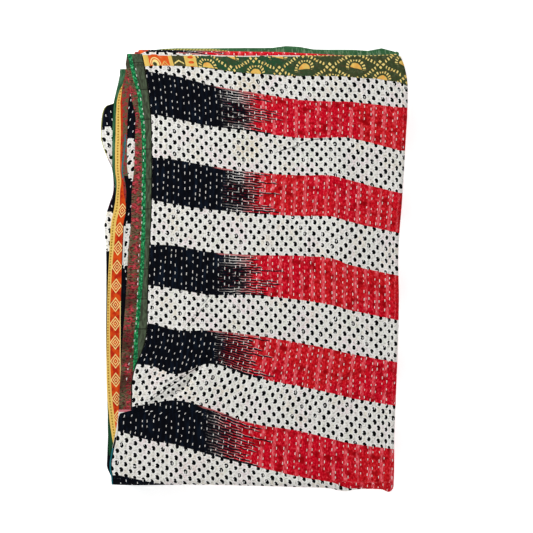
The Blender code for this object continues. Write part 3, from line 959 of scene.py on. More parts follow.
def white_cotton(p, a, b, x, y, below_edge, lean):
    """Off-white with beige and pink stains, painted shade and painted highlights of the puckers, and the
    dots.
    """
    white = p.stained(OFF_WHITE, x, y, Stain(0.040, 0.040, 3, 2, 0.48, 0.66, 0.7, PINK_STAIN))
    warm = p.mottle(x, y, 0.030, detail=3.0, seed=12.0).rise(0.50, 0.68) * 0.45
    for spill in SPILLS:
        off = p.length((x - spill.x) / spill.half_wide, (y - spill.y) / spill.half_high)
        warm = warm | (1 - off.rise(0.3, 1.0)) * 0.9
    white = p.stained(
        p.blend(warm, white, WARM_STAIN), x, y,
        Stain(0.022, 0.022, 2, 17, 0.54, 0.70, 0.6, GREEN_STAIN),
        # Painted shade in the hollows of the puckers.
        Stain(0.0030, 0.0022, 3, 4, 0.50, 0.64, 0.6, PUCKER_SHADE),
    )
    dot, halo = dots(p, a, b, below_edge, lean)
    # Painted highlights on the puckers, and a bright halo round each dot.
    bright = p.mottle(x, y, 0.0026, seed=29.0).rise(0.55, 0.70) * 0.8
    return p.over(white, (bright | halo * 0.7, BRIGHT_WHITE), (dot, DOT_BLACK))


def red_cotton(p, a, b, row):
    """Crimson, deeper in patches, paler in streaks between the pairs of stitched rows."""
    red = p.stained(RED, a, b, Stain(0.090, 0.090, 2, 58, 0.44, 0.60, 0.7, WARM_RED))
    patch = p.mottle(a, b, 0.013, 0.010, detail=4.0, seed=7.0)
    grain = p.mottle(a, b, 0.0022, 0.0034, seed=26.0)
    # Paler streaks between the pairs of stitched rows, in patches down them.
    off_pair = (row * 0.5 + 0.25 + p.wander(0.1, a, b, 0.020, seed=38.0)).off_middle() * 2
    worn = p.mottle(row * 0.5, b, 0.9, 0.020, seed=6.0).rise(0.38, 0.56)
    streak = (1 - off_pair).rise(0.58, 0.88) * worn
    streak_grain = p.mottle(a, b, 0.0013, 0.0046, seed=19.0)
    return p.over(
        red,
        (patch.rise(0.48, 0.68), DEEP_RED),
        (grain.rise(0.50, 0.64) * 0.75, DEEP_RED),
        (grain.rise(0.46, 0.32) * patch.rise(0.66, 0.48) * 0.6, PALE_RED),
        (streak * streak_grain.rise(0.30, 0.50) * 0.9, PALE_RED),
        (streak * streak_grain.rise(0.52, 0.66) * 0.7, PINK_CORE),
    )


def ombre_lines(p, a, b, through, row, depth, early):
    """The ombre's black lines, how shut, murky and red their gaps are, and the threads above them."""
    bent = p.wander(0.0022, a, b, 0.011, 0.007, seed=11.0) + p.math("SINE", row * math.pi) * 0.00028
    wave = b + bent
    lines = wave / LINE_PITCH
    off_line = lines.off_middle() * 2
    line = lines.floor()
    reach, start, thickness = p.chance(line, line)
    taper = 1 - (through - 0.68 - reach * reach * 0.56).rise(-0.10, 0.0)
    keep = (0.76 - through.rise(0.1, 1.0) * 0.32 + (thickness - 0.5) * 0.22) * taper
    black_line = off_line < keep
    above = (off_line < keep + 0.30) * (lines.part() < 0.5) * taper
    thread = above * p.mottle(a, wave, 0.006, 0.002, seed=39.0).rise(0.44, 0.54)
    # The gaps open raggedly, and stitches bridge them.
    bridging = p.mottle(a, wave, 0.0028, 0.0018, seed=27.0)
    opening = (through - start * 0.12 + (bridging - 0.5) * 0.5).rise(0.0, 0.26)
    shut = (1 - opening) | bridging.rise(0.55, 0.65) * (1 - through.rise(0.3, 0.6)) * 0.85
    murk = depth.rise(0.20, 0.36) * (1 - depth.rise(0.76, 0.96))
    murk = murk * through.rise(0.02, 0.16) * (1 - through.rise(0.46, 0.68))
    murk = murk * p.mottle(a, b, 0.012, 0.006, detail=3.0, seed=15.0).rise(0.34, 0.46)
    redness = (through + p.wander(0.40, a, b, 0.010, 0.006, seed=13.0) + early).rise(0.30, 0.62)
    return black_line, shut, murk, redness, thread


def dark_stripe(p, a, b, y, row, bent, repeat):
    """Black with a sheen, running to red in fine lines, murky gaps and a salmon fringe."""
    sheen = p.mottle(a, b, 0.0042, 0.030, detail=3.0, seed=10.0).rise(0.46, 0.72)
    black = p.blend(sheen * 0.75, NAVY_BLACK, NAVY_SHEEN)
    through = (p.one("ombre") - OMBRE_START) / OMBRE_LENGTH + p.wander(0.10, a, b, 0.014, 0.005, seed=14.0)
    # The red comes earlier in the two stripes at the foot, most of all in the upper one.
    early = y.rise(-0.060, -0.085) * (0.44 - y.rise(-0.150, -0.165) * 0.24)
    black_line, shut, murk, redness, thread = ombre_lines(p, a, b, through, row, repeat / STRIPE, early)
    fleck = p.mottle(a, b, 0.0052, 0.0014, seed=40.0)
    murky = p.over(MURKY_RED, (fleck.rise(0.52, 0.60), MURKY_LINE), (fleck.rise(0.36, 0.30), UNDYED_LINE))
    last_line = (repeat > STRIPE - FRINGE) * (through < 0.90)
    fringe = (bent + repeat < FRINGE) * through.rise(-0.12, 0.0) * (1 - through.rise(0.70, 0.85))
    fringe = fringe * p.mottle(a, b, 0.030, 0.060, seed=49.0).rise(0.40, 0.52)
    return p.over(
        UNDYED_LINE,
        (redness, red_cotton(p, a, b, row)),
        (shut, black),
        (murk * (1 - early * 1.5), murky),
        (thread * redness * (1 - murk) * 0.8, UNDYED_LINE),
        (black_line | last_line | (through < 0.0), black),
        (fringe * 0.85, SALMON),
    )


def pressed(p, x, y):
    """The painted shade along the sharp folds pressed into the top layer, and how dark it is."""
    dark = 0.0
    for fold in SHARP_FOLDS:
        cosine, sine = math.cos(math.radians(fold.turn)), math.sin(math.radians(fold.turn))
        along = ((x - fold.x) * cosine + (y - fold.y) * sine) / fold.half_long
        aside = (y - fold.y) * cosine - (x - fold.x) * sine + p.wander(0.004, x, y, 0.012, seed=33.0)
        line = 1 - aside.size().rise(0.0002, 0.0010)
        if fold.second:
            line = line | 0.7 * (1 - (aside - fold.second).size().rise(0.0002, 0.0008))
        broken = p.mottle(x, y, 0.0045, seed=34.0).rise(0.34, 0.48)
        dark = line * broken * (1 - along.size().rise(0.7, 1.0)) * fold.depth | dark
    return dark


def orange_and_red(p, x, y):
    """The worn orange of the bands that shows at the corner of the head."""
    return p.stained(STRIP_ORANGE, x, y, Stain(0.006, 0.006, 2, 35, 0.40, 0.60, 1, SIDE_RED))


def lower_layers(p, colour, x, y, edging, under):
    """The colour with what differs off the top layer: its left folds, with painted shadow, and the head's
    corner.
    """
    dark = 0.0
    for patch in FOLD_SHADOWS:
        dark = x.between(patch.low_x, patch.high_x) * y.between(patch.low_y, patch.high_y) | dark
    corner = (x - (y - CORNER_Y) * CORNER_SLANT < CORNER_X) * (y > HEAD_CORNER) * under
    return p.over(
        colour,
        # A faded selvedge runs round the left folds, pale green, then plum.
        (edging * (y > SELVEDGE_END), p.blend(y > PLUM_START, SELVEDGE_PLUM, SELVEDGE_GREEN)),
        # Black painted as shadow where the left folds lie in shade.
        (dark * under, NAVY_BLACK),
        (corner, orange_and_red(p, x, y)),
    )


def striped_cotton():
    """Black running to red in fine lines, between white stripes of half-moon dots."""
    p = Paint("striped_cotton")
    a, b, lean = p.three("print")
    row, edging, under = p.three("sewn")
    x, y = p.object_places()[:2]
    bent = p.wander(0.0013, a, b, 0.010, seed=1.0)
    repeat = ((b + bent) / (2 * STRIPE)).part() * (2 * STRIPE)
    # Below the top layer the stitches are only printed ticks.
    along = b / STITCH_PITCH + (row.floor() * 0.5).part()
    tick = (row.off_middle() < 0.06) * (along.off_middle() < 0.14)
    colour = p.over(
        white_cotton(p, a, b, x, y, repeat - STRIPE, lean),
        (repeat < STRIPE, dark_stripe(p, a, b, y, row, bent, repeat)),
        (tick * under * 0.9, THREAD),
        # Painted shade along the sharp folds of the top layer.
        (pressed(p, x, y) * (1 - under), SEAM_SHADE),
    )
    p.weave(strength=0.65)
    return p.finish(lower_layers(p, colour, x, y, edging, under))


# The end band's suns, a lattice of dashes between them and lozenges where it crosses.
SUN_PITCH = 0.0645
SUN_ROW = 0.0185
SUN_WIDE = 0.0073
SUN_HIGH = 0.0070
SUN_BASE = 0.0022
SUN_STRAY = 0.0030
RAY_MIDDLE = 0.0106
RAY_HALF = 0.0018
RAYS = 20
CHAIN_SLOPE = SUN_ROW / (SUN_PITCH / 2)
CHAIN_PITCH = 0.0050
CHAIN_HALF = 0.0022
LOZENGE_OUT = 0.0038


def sun_print(p, number, down):
    """Masks of a print of rising suns in a lattice of dashes, with lozenges where it crosses."""
    x, y = number * SUN_PITCH, down
    x = x + p.wander(SUN_STRAY, x, y, 0.012, seed=24.0)
    y = y + p.wander(SUN_STRAY, x, y, 0.012, seed=20.0)
    row = (y / SUN_ROW + 0.5).floor()
    shifted = x / SUN_PITCH + (row * 0.5).part() + 0.5
    cell_x = (shifted.part() - 0.5) * SUN_PITCH
    cell_y = y - row * SUN_ROW
    lean = p.chance(shifted.floor(), row, seed=4.0)[1]
    tilted_y = cell_y + cell_x * (lean - 0.5) * 0.5
    rough = p.wander(0.0013, x, y, 0.0016, seed=21.0)
    dome = p.length(cell_x / SUN_WIDE, (tilted_y - SUN_BASE) / SUN_HIGH) + rough * 100
    disc = (dome < 1.0) * (tilted_y < SUN_BASE + cell_x * 0.15)
    radius = p.length(cell_x, tilted_y - 0.0014)
    turn = p.math("ARCTAN2", tilted_y - 0.0030, cell_x)
    ray = (turn * (RAYS / (2 * math.pi))).off_middle() < 0.25
    ray = ray * ((radius + rough - RAY_MIDDLE).size() < RAY_HALF) * (tilted_y < 0.0040)
    side_x = SUN_PITCH / 2 - cell_x.size()
    far = side_x | cell_y.size()
    near = p.least(side_x, cell_y.size())
    lozenge = (far - LOZENGE_OUT).size() + near + rough * 0.7 < CHAIN_HALF
    chain = cell_x.size() * CHAIN_SLOPE + cell_y.size() - SUN_ROW
    along = cell_x.size() - cell_y.size() * CHAIN_SLOPE
    dash = (chain.size() + rough < CHAIN_HALF) * ((along / CHAIN_PITCH).off_middle() < 0.22)
    dash = dash * (side_x > 0.0066) * (radius > RAY_MIDDLE + 0.0034)
    return ray | lozenge | dash, disc


# The strips at the end band's start: where each starts along it, and its dye.
STRIPS = (
    (0.0, STRIP_YELLOW),
    (0.007, STRIP_ORANGE),
    (0.033, STRIP_YELLOW),
    (0.038, BAND_OLIVE),
    (0.0535, STRIP_YELLOW),
)
STRIPS_END = 0.069
ARCH_X = 0.0150
TENT_X = 0.0268
CHEVRON_X = 0.0457
BEAD_X = 0.0618
BEAD_PITCH = 0.0066


def strip_print(p, a, d):
    """Narrow strips at the band's start: arches on orange, chevrons on olive, orange beads."""
    strips = p.node("ShaderNodeValToRGB")
    strips.color_ramp.interpolation = "CONSTANT"
    ramp = strips.color_ramp.elements
    for k, (start, colour) in enumerate(STRIPS):
        mark = ramp[k] if k < 2 else ramp.new(start / STRIPS_END)
        mark.position = start / STRIPS_END
        mark.color = colour
    p.feed(strips.inputs[0], (a + p.wander(0.0010, a, d, 0.008, seed=25.0)) / STRIPS_END)
    arch = p.length(a - ARCH_X, (d - 0.0120) * 0.8)
    ring = arch.between(0.0056, 0.0068) * (d < 0.0135)
    tent = (d - (a - TENT_X).size() * 1.3 - 0.0078) / 0.0046
    tent = (tent.part() < 0.34) * (tent > 0.0) * a.between(0.0215, 0.0325)
    chevron = ((d - (a - CHEVRON_X).size() * 0.62 - 0.0066) / 0.0105).part() < 0.17
    off_bead = ((d / BEAD_PITCH).part() - 0.5) * BEAD_PITCH
    bead = p.length((a - BEAD_X) / 0.0037, off_bead / 0.0018) < 1.0
    colour = p.over(
        Wire(p, strips.outputs[0]),
        (ring | (arch < 0.0045), PALE_YELLOW),
        (p.length(a - 0.0138, d - 0.0125) < 0.0026, BAND_OLIVE),
        (tent, STRIP_YELLOW),
        (chevron * a.between(0.0395, 0.0520), GOLD),
        (bead, STRIP_ORANGE),
    )
    return p.stained(colour, a, d, Stain(0.006, 0.006, 3, 22, 0.56, 0.8, 0.35, PALE_YELLOW))


GREEN_STAINS = (
    Stain(0.0016, 0.0016, 2, 28, 0.45, 0.65, 0.5, LEFT_GREEN),
    Stain(0.0040, 0.0040, 3, 37, 0.50, 0.66, 0.55, BROWN_GREEN),
    Stain(0.006, 0.006, 3, 22, 0.52, 0.7, 0.4, WORN_GREEN),
)
HEM_STITCH_PITCH = 0.0052
HEM_STITCH_START = 0.205


def band_cotton():
    """Green cotton with gold suns, and narrow orange, yellow and olive strips at its start."""
    p = Paint("sun_band_cotton")
    a, d = p.three("print")[:2]
    aged = (p.mottle(a, d, 0.03, detail=3.0, seed=23.0).rise(0.40, 0.62) * 0.6) | (a.rise(0.16, 0.24) * 0.85)
    green = p.stained(p.blend(aged, BAND_GREEN, BAND_OLIVE), a, d, *GREEN_STAINS)
    gold, disc = sun_print(p, *p.three("lattice")[:2])
    wear = p.mottle(a, d, 0.006, detail=3.0, seed=22.0)
    hem_thread = (d < 0.0008) * (a > HEM_STITCH_START) * ((a / HEM_STITCH_PITCH).part() < 0.55)
    worn = p.mottle(a, d, 0.010, 0.006, seed=36.0).rise(0.40, 0.46)
    colour = p.over(
        green,
        (gold, p.blend(wear.rise(0.40, 0.7), GOLD, STRIP_YELLOW)),
        (disc, p.blend(wear.rise(0.35, 0.65), SUN_ORANGE, STRIP_YELLOW)),
        (hem_thread, GOLD),
        (a < STRIPS_END, strip_print(p, a, d)),
        ((d < 0.0013) * (a < HEM_STITCH_START) * worn, OFF_WHITE),
    )
    p.weave()
    return p.finish(colour)


HEM_STAINS = (
    Stain(0.012, 0.004, 3, 31, 0.40, 0.66, 0.6, DARK_HEM_GREEN),
    Stain(0.0022, 0.012, 2, 32, 0.52, 0.66, 0.6, PALE_HEM_GREEN),
)


def hem_cotton():
    """Plain green cotton, with a speckled yellow edging that shows near one corner."""
    p = Paint("plain_hem_cotton")
    d, x = p.three("print")[1:]
    hatch = ((x * 0.8 + d) / 0.0034).part() < 0.5
    edging = p.blend(hatch, EDGING_YELLOW, EDGING_OLIVE)
    turned_in = d - x.rise(-0.060, -0.004) * 0.0095
    p.weave()
    return p.finish(p.blend(turned_in > 0.0005, p.stained(HEM_GREEN, x, d, *HEM_STAINS), edging))


SPRIG_PITCH = 0.0098
SPRIG_MIDDLE = 0.0096
SPRIG_STRAY = (0.0060, 0.0046)
STRIPE_HALF = 0.0026
PLEAT_PITCH = 0.039
BROWN_STAINS = (
    Stain(0.0017, 0.0052, 3, 43, 0.48, 0.56, 1, SIDE_GREEN),
    Stain(0.0022, 0.0030, 2, 50, 0.56, 0.62, 1, DUSTY_ROSE),
)
# Where, down the side band, its olive corner ends, and the pink line, the turned edge, its
# dark seam and its teal seam start.
OLIVE_END, PINK_START, TURNED_START, DARK_START, TEAL_START = 0.258, -0.186, -0.189, -0.222, -0.236
WEDGE_START = 0.270
BELOW_TOP_RUN = 0.036


def side_cotton():
    """Brown with a red sprig, a bright green stripe and an olive edge at the seam."""
    p = Paint("side_band_cotton")
    v, w, off_stripe = p.three("print")
    x, y, z = p.object_places()
    cell = (v / SPRIG_PITCH).floor()
    stray_v, stray_w, size = p.chance(cell, cell)
    sprig_v = ((v / SPRIG_PITCH).part() - 0.5) * SPRIG_PITCH + (stray_v - 0.5) * SPRIG_STRAY[0]
    sprig_w = off_stripe - SPRIG_MIDDLE + (stray_w - 0.5) * SPRIG_STRAY[1]
    rough = p.wander(5.4, v, w, 0.0024, 0.0040, detail=4.0, seed=42.0)
    sprig = p.length(sprig_v / 0.0042, sprig_w / 0.0054) + rough + size * 0.5 - 0.1
    brown = p.over(
        p.stained(SIDE_BROWN, v, w, *BROWN_STAINS),
        (1 - sprig.rise(0.90, 1.10), SIDE_RED),
        (1 - sprig.rise(0.30, 0.55), SIDE_PINK),
    )
    shaded = p.mottle(v, w, 0.030, 0.060, seed=47.0).rise(0.44, 0.62) * y.rise(0.0, -0.06)
    brown = p.over(
        p.stained(brown, v, w, Stain(0.0017, 0.0044, 3, 46, 0.53, 0.58, 0.85, SPRIG_SHADE)),
        (shaded * 0.7, SPRIG_SHADE),
        ((y > OLIVE_END) * 0.85, DARK_OLIVE),
    )
    olive = p.stained(SIDE_OLIVE, v, w, Stain(0.010, 0.003, 3, 44, 0.36, 0.62, 1, DARK_OLIVE))
    green = p.stained(STITCHED_GREEN, v, w, Stain(0.0034, 0.0026, 3, 45, 0.44, 0.56, 1, DEEP_GREEN))
    green = p.stained(green, v, v, Stain(0.0095, 0.0095, 2, 48, 0.52, 0.64, 0.7, DEEP_GREEN))
    green = p.stained(green, v, w, Stain(0.0034, 0.0026, 3, 45, 0.38, 0.32, 1, MINT))
    ragged = off_stripe.size() + p.wander(0.0014, v, w, 0.006, seed=41.0)
    pleat = (v / PLEAT_PITCH).off_middle() < 0.018
    colour = p.over(
        olive,
        (off_stripe > 0.0, brown),
        (ragged < STRIPE_HALF, green),
        (pleat * (off_stripe < 0.003) * 0.7, SEAM_SHADE),
        # Lower down there is no stripe, then a pink line, and past it only the turned edge.
        (y < PINK_START, PINK_LINE),
        (y < TURNED_START, OFF_WHITE),
        ((y < DARK_START) * (w < 0.0020), NAVY_BLACK),
        ((y < TEAL_START) * (w > 0.0006), EDGE_TEAL),
        ((w < 0.0011) * (y > PINK_START - 0.001), SEAM_SHADE),
        ((y > WEDGE_START) * (z < BELOW_TOP_RUN), orange_and_red(p, x, y)),
    )
    p.weave()
    return p.finish(colour)


DIAMOND_PITCH = 0.0245
FIRST_DIAMOND = 0.0728  # its middle, y
LAST_DIAMOND = 0.085  # above it the orange is plain
DIAMOND_HIGH = 0.0092
DIAMOND_WIDE = 0.0068
LINK_PITCH = 0.0037
LINK_HALF = (0.0011, 0.0013)
SPRIG_STAINS = (
    Stain(0.0034, 0.0034, 3, 54, 0.48, 0.54, 1, SIDE_GREEN),
    Stain(0.0046, 0.0046, 3, 55, 0.48, 0.54, 1, SIDE_RED),
    Stain(0.0034, 0.0034, 3, 54, 0.40, 0.34, 0.8, SPRIG_SHADE),
)
CLOTH_START = 0.118
CLOTH_EDGE = 0.0138
WHITE_CLOTH = (0.002, 0.0526)
PALE_GREEN_END = -0.1
BLACK_START = -0.246
TEAL_REACH = (0.115, 0.172)


def diamond_cotton():
    """Green and chain-stitched yellow edging, orange with nested diamonds, then a sprig."""
    p = Paint("diamond_band_cotton")
    v, w = p.three("print")[:2]
    green_end, yellow_end, orange_end = p.three("marks")
    y = p.object_places()[1]
    edge = w + p.wander(0.0010, v, w, 0.02, seed=51.0)
    off_diamond = ((FIRST_DIAMOND - y) / DIAMOND_PITCH + 0.5).off_middle() * DIAMOND_PITCH
    off_centre = (w - (yellow_end + orange_end) * 0.5).size()
    rough = p.wander(0.14, v, w, 0.0022, seed=57.0)
    nested = off_diamond / DIAMOND_HIGH + off_centre / DIAMOND_WIDE + rough
    rings = nested.between(0.83, 1.05) | nested.between(0.40, 0.58) | (nested < 0.15)
    orange = p.stained(DIAMOND_ORANGE, v, w, Stain(0.008, 0.008, 3, 52, 0.40, 0.62, 1, DIAMOND_RED))
    orange = p.over(
        orange,
        (y.rise(0.150, 0.200) * 0.8, DIAMOND_RED),
        (rings * (y < LAST_DIAMOND), DIAMOND_CREAM),
        ((edge > orange_end - 0.0011) * (y < -0.045), DIAMOND_CREAM),
    )
    across_link = (edge - (green_end + yellow_end) * 0.5) / LINK_HALF[0]
    along_link = ((y / LINK_PITCH).part() - 0.5) * LINK_PITCH / LINK_HALF[1]
    yellow = p.blend(p.length(across_link, along_link) < 1.0, STRIP_YELLOW, CHAIN_BROWN)
    yellow = p.stained(yellow, v, w, Stain(0.0024, 0.0024, 2, 53, 0.5, 0.8, 0.5, PALE_YELLOW))
    brown = p.stained(SIDE_BROWN, v, w, *SPRIG_STAINS)
    cloth = p.blend(y.between(*WHITE_CLOTH), NAVY_BLACK, OFF_WHITE)
    brown = p.blend((y < CLOTH_START) * (w > CLOTH_EDGE), brown, cloth)
    ridge = p.mottle(w, v, 0.0012, 0.02, seed=56.0).rise(0.42, 0.60)
    teal = (edge - 0.0168 + y.rise(0.165, 0.115) * 0.0050).size() < 0.0009
    colour = p.over(
        LEFT_GREEN,
        (ridge * 0.6 * (y > PALE_GREEN_END), LEFT_PALE_GREEN),
        (y < PALE_GREEN_END, p.blend(ridge * 0.5, LEFT_GREEN, SEAM_SHADE)),
        (y < BLACK_START, NAVY_BLACK),
        (edge > green_end, yellow),
        (edge > yellow_end, orange),
        (edge > orange_end, brown),
        ((edge - orange_end).between(0.0, 0.0009) * (y < 0.06), SEAM_SHADE),
        (teal * y.between(*TEAL_REACH), EDGE_TEAL),
    )
    p.weave()
    return p.finish(colour)


def thread_cotton():
    p = Paint("stitching_cotton", roughness=0.8)
    x, y = p.object_places()[:2]
    p.weave(strength=0.3)
    return p.finish(p.stained(THREAD, x, y, Stain(0.012, 0.012, 2, 61, 0.4, 0.6, 1, THREAD_SHADE)))


# ---------------------------------------------------------------------------
# Running stitches
# ---------------------------------------------------------------------------
STITCH_WIDTH = 0.0010
STITCH_RISE = 0.00045
END_OF_SIDE_STITCHES = 0.78  # how far down they show on the side band
SHORTEST, LONGEST = 0.70, 1.20  # stitches, as shares of their length
BAND_MARGIN = 0.004
LAST_STITCH = 0.992  # how far down they show on the cloth
ASIDE = 0.002  # the share of the layer's width by which the cloth's slope is measured


def stitch_places():
    """Where each running stitch lies: its middle, its direction and the way out of the cloth."""
    rows = np.arange(1, SIDE_ROWS + FIELD_ROWS)
    side = rows / SIDE_ROWS * SIDE_SHARE
    field = SIDE_CUT + (rows - SIDE_ROWS) / FIELD_ROWS * (1 - SIDE_CUT)
    shares = np.where(rows < SIDE_ROWS, side, field)
    per_row = int(RUN_LENGTH / STITCH_PITCH)
    row, number = np.meshgrid(rows, np.arange(per_row), indexing="ij")
    share = np.repeat(shares[:, None], per_row, axis=1)
    wobble = 0.16 * np.sin(2.3 * number + 1.3 * row) + 0.10 * np.sin(5.1 * number - 0.7 * row)
    down = (number + row_start(row) + wobble) / per_row
    # None show on the end band, and few on the side band, which narrows to nothing.
    on_side = row <= SIDE_ROWS
    few = (row == 2) | (row == SIDE_ROWS) & (number % 2 == 0)
    on_cloth = np.where(on_side, few & (down < END_OF_SIDE_STITCHES), True)
    keep = (down > END_CUT + BAND_MARGIN) & (down < LAST_STITCH) & on_cloth
    share, down, row = share[keep], down[keep], row[keep]
    sway = (0.0006 * np.sin(0.9 * row + down * 31) + 0.0005 * np.cos(math.pi * row)) / LAYER_WIDTH
    across = (np.zeros(len(share), int), share + sway)
    step = STITCH_LENGTH / 2 / RUN_LENGTH
    run = np.zeros(len(share), int)
    middle, _ = place(across, (run, down), 1)
    before, _ = place(across, (run, down - step / 2), 1)
    after, _ = place(across, (run, down + step / 2), 1)
    aside, _ = place((across[0], across[1] + ASIDE), (run, down), 1)
    aside_back, _ = place((across[0], across[1] - ASIDE), (run, down), 1)
    along = before - after
    out = np.cross(aside - aside_back, along)
    return middle, along, out / np.linalg.norm(out, axis=1)[:, None]


def stitch_tree(material):
    """Geometry nodes that lay a low arch of thread at each point of a cloud."""
    tree = bpy.data.node_groups.new("running_stitches", "GeometryNodeTree")
    sockets = tree.interface
    sockets.new_socket("Geometry", in_out="INPUT", socket_type="NodeSocketGeometry")
    for name in ("Length", "Width", "Rise"):
        sockets.new_socket(name, in_out="INPUT", socket_type="NodeSocketFloat")
    sockets.new_socket("Geometry", in_out="OUTPUT", socket_type="NodeSocketGeometry")

    def node(kind, values=None, **settings):
        made = tree.nodes.new(kind)
        for name, value in settings.items():
            setattr(made, name, value)
        for name, value in (values or {}).items():
            if isinstance(value, bpy.types.NodeSocket):
                tree.links.new(value, made.inputs[name])
            else:
                made.inputs[name].default_value = value
        return made

    def times(size, factor):
        return node("ShaderNodeMath", {0: size, 1: factor}, operation="MULTIPLY").outputs[0]

    def point(**places):
        return node("ShaderNodeCombineXYZ", places).outputs[0]

    def placed(name):
        named = node("GeometryNodeInputNamedAttribute", {"Name": name}, data_type="FLOAT_VECTOR")
        return named.outputs["Attribute"]

    given = node("NodeGroupInput").outputs
    low, high = times(given["Rise"], -0.6), times(given["Rise"], 2.2)
    ends = [point(X=times(given["Length"], share), Z=low) for share in (-0.5, 0.5)]
    arch = node(
        "GeometryNodeCurveQuadraticBezier",
        {"Resolution": 4, "Start": ends[0], "Middle": point(Z=high), "End": ends[1]},
    ).outputs[0]
    radius = times(given["Width"], 0.5)
    circle = node("GeometryNodeCurvePrimitiveCircle", {"Resolution": 5, "Radius": radius}).outputs[0]
    thread = {"Curve": arch, "Profile Curve": circle, "Fill Caps": True}
    stitch = node("GeometryNodeCurveToMesh", thread).outputs[0]
    turned = node("FunctionNodeAlignRotationToVector", {"Vector": placed("along")}, axis="X").outputs[0]
    outward = {"Rotation": turned, "Vector": placed("out")}
    upright = node("FunctionNodeAlignRotationToVector", outward, axis="Z", pivot_axis="X").outputs[0]
    stretch = node("FunctionNodeRandomValue", {"Seed": 7}, data_type="FLOAT")
    low_high = [s for s in stretch.inputs if s.name in ("Min", "Max") and s.type == "VALUE"]
    low_high[0].default_value, low_high[1].default_value = SHORTEST, LONGEST
    size = point(X=stretch.outputs[1], Y=1.0, Z=1.0)
    points = node("GeometryNodeMeshToPoints", {"Mesh": given["Geometry"]}).outputs[0]
    laying = {"Points": points, "Instance": stitch, "Rotation": upright, "Scale": size}
    laid = node("GeometryNodeInstanceOnPoints", laying).outputs[0]
    real = node("GeometryNodeRealizeInstances", {"Geometry": laid}).outputs[0]
    dyed = node("GeometryNodeSetMaterial", {"Geometry": real, "Material": material}).outputs[0]
    tree.links.new(dyed, node("NodeGroupOutput").inputs["Geometry"])
    return tree


def running_stitches(material):
    """All the stitches that show on the top layer, as one plain mesh."""
    middle, along, out = stitch_places()
    cloud = bpy.data.meshes.new("stitch_cloud")
    cloud.from_pydata((middle + out * STITCH_RISE * 0.3).tolist(), [], [])
    for name, vectors in (("along", along), ("out", out)):
        cloud.attributes.new(name, "FLOAT_VECTOR", "POINT").data.foreach_set("vector", vectors.ravel())
    maker = linked("stitch_cloud", cloud)
    modifier = maker.modifiers.new("stitches", "NODES")
    tree = stitch_tree(material)
    modifier.node_group = tree
    sizes = {"Length": STITCH_LENGTH, "Width": STITCH_WIDTH, "Rise": STITCH_RISE}
    for item in tree.interface.items_tree:
        if item.item_type == "SOCKET" and item.in_out == "INPUT" and item.name in sizes:
            modifier[item.identifier] = sizes[item.name]
    evaluated = maker.evaluated_get(bpy.context.evaluated_depsgraph_get())
    mesh = bpy.data.meshes.new_from_object(evaluated)
    mesh.name = "running_stitches"
    mesh.shade_smooth()
    bpy.data.objects.remove(maker)
    return linked("running_stitches", mesh)


# ---------------------------------------------------------------------------
# The pieces, each in place of its solid
# ---------------------------------------------------------------------------
ACROSS_LENGTH = 1.46
DOWN_LENGTH = 2.31
MIDDLE_ACROSS = ACROSS_LENGTH - 0.045  # less the bands at both sides
MIDDLE_DOWN = DOWN_LENGTH - 0.06  # less the bands at both ends
SIDE_WIDTH = 0.027
END_WIDTH = 0.028

START, NEAR, HEAD = (0, 0.0), (0, SIDE_CUT), (0, END_CUT)
END, FAR, TAIL = (6, 1.0), (6, FAR_CUT), (6, FAR_END_CUT)
Panel = namedtuple("Panel", "node across down print_of cotton width length slot")
PANELS = (
    Panel(
        "quilt_cloth", (NEAR, FAR), (HEAD, TAIL),
        printed, striped_cotton, MIDDLE_ACROSS, MIDDLE_DOWN, "striped_cloth",
    ),
    Panel(
        "end_band", (NEAR, FAR), (START, (0, END_SHARE)),
        printed_end, band_cotton, MIDDLE_ACROSS, END_WIDTH, "printed_band",
    ),
    Panel(
        "far_hem", (NEAR, FAR), ((6, 1 - FAR_END_SHARE), END),
        printed_end, hem_cotton, MIDDLE_ACROSS, FAR_END_WIDTH, "plain_hem",
    ),
    Panel(
        "side_band", (START, (0, SIDE_SHARE)), (START, END),
        printed_side, side_cotton, SIDE_WIDTH, DOWN_LENGTH, "side_band",
    ),
    Panel(
        "far_band", ((6, 1 - FAR_SHARE), END), (START, END),
        printed_far_side, diamond_cotton, FAR_SIDE_WIDTH, DOWN_LENGTH, "diamond_band",
    ),
)


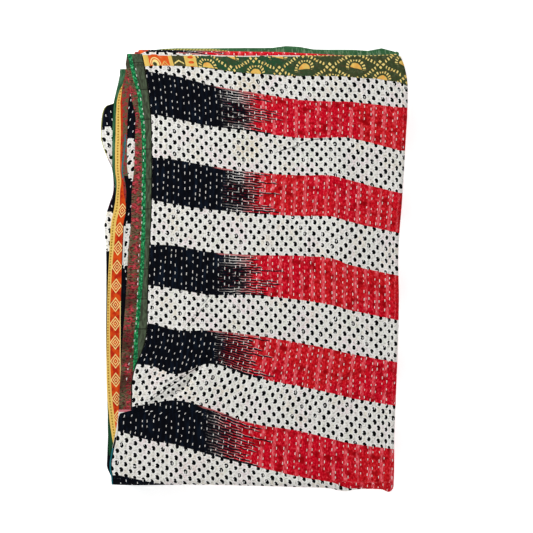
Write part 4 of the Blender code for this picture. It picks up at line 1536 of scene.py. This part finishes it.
def dress():
    for c in PANELS:
        piece = panel("soft_" + c.node, c.across, c.down, c.print_of, c.cotton())
        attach(piece, "root")
        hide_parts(c.node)
    stitches = running_stitches(thread_cotton())
    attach(stitches, "root")
    for c in PANELS:
        with_it = [stitches] if c.node == "quilt_cloth" else []


# ---------------------------------------------------------------------------
# Studio: pale floor, soft light and a camera straight above
# ---------------------------------------------------------------------------
CAMERA_HEIGHT = 1.9
FRAME_WIDTH = 0.693  # what the picture spans at the top layer
PICTURE_CENTRE = (0.0169, 0.0)
SENSOR = 36.0  # millimetres
WHITE = (1.0, 1.0, 1.0, 1.0)
PAPER = {
    "Base Color": (0.9, 0.9, 0.9, 1.0),
    "Roughness": 1.0,
    "Specular IOR Level": 0.0,
    "Emission Color": WHITE,
    "Emission Strength": 0.6,
}
ROOM = {"Color": WHITE, "Strength": 0.45}
Lamp = namedtuple("Lamp", "name place size power")
LAMPS = (
    Lamp("window", (-1.5, 1.2, 1.15), 0.9, 34.0),
    Lamp("fill", (1.2, -1.4, 1.9), 1.8, 8.0),
)


def set_inputs(node, values):
    for name, value in values.items():
        node.inputs[name].default_value = value


def studio():
    bpy.ops.mesh.primitive_plane_add(size=30, location=(0, 0, 0))
    floor = bpy.context.object
    floor.name = "pale_floor"
    paper = bpy.data.materials.new("pale_paper")
    paper.use_nodes = True
    set_inputs(paper.node_tree.nodes["Principled BSDF"], PAPER)
    floor.data.materials.append(paper)

    world = bpy.data.worlds.new("soft_room")
    bpy.context.scene.world = world
    world.use_nodes = True
    set_inputs(world.node_tree.nodes["Background"], ROOM)

    for lamp in LAMPS:
        data = bpy.data.lights.new(lamp.name, "AREA")
        data.size = lamp.size
        data.energy = lamp.power
        light = linked(lamp.name, data)
        light.location = lamp.place
        light.rotation_euler = (-Vector(lamp.place)).to_track_quat("-Z", "Y").to_euler()

    camera_data = bpy.data.cameras.new("above")
    camera_data.sensor_width = SENSOR
    camera_data.lens = SENSOR * (CAMERA_HEIGHT - HEIGHT) / FRAME_WIDTH
    camera = linked("above", camera_data)
    camera.location = (*PICTURE_CENTRE, CAMERA_HEIGHT)
    bpy.context.scene.camera = camera
    bpy.context.scene.view_settings.view_transform = "Standard"


dress()
studio()
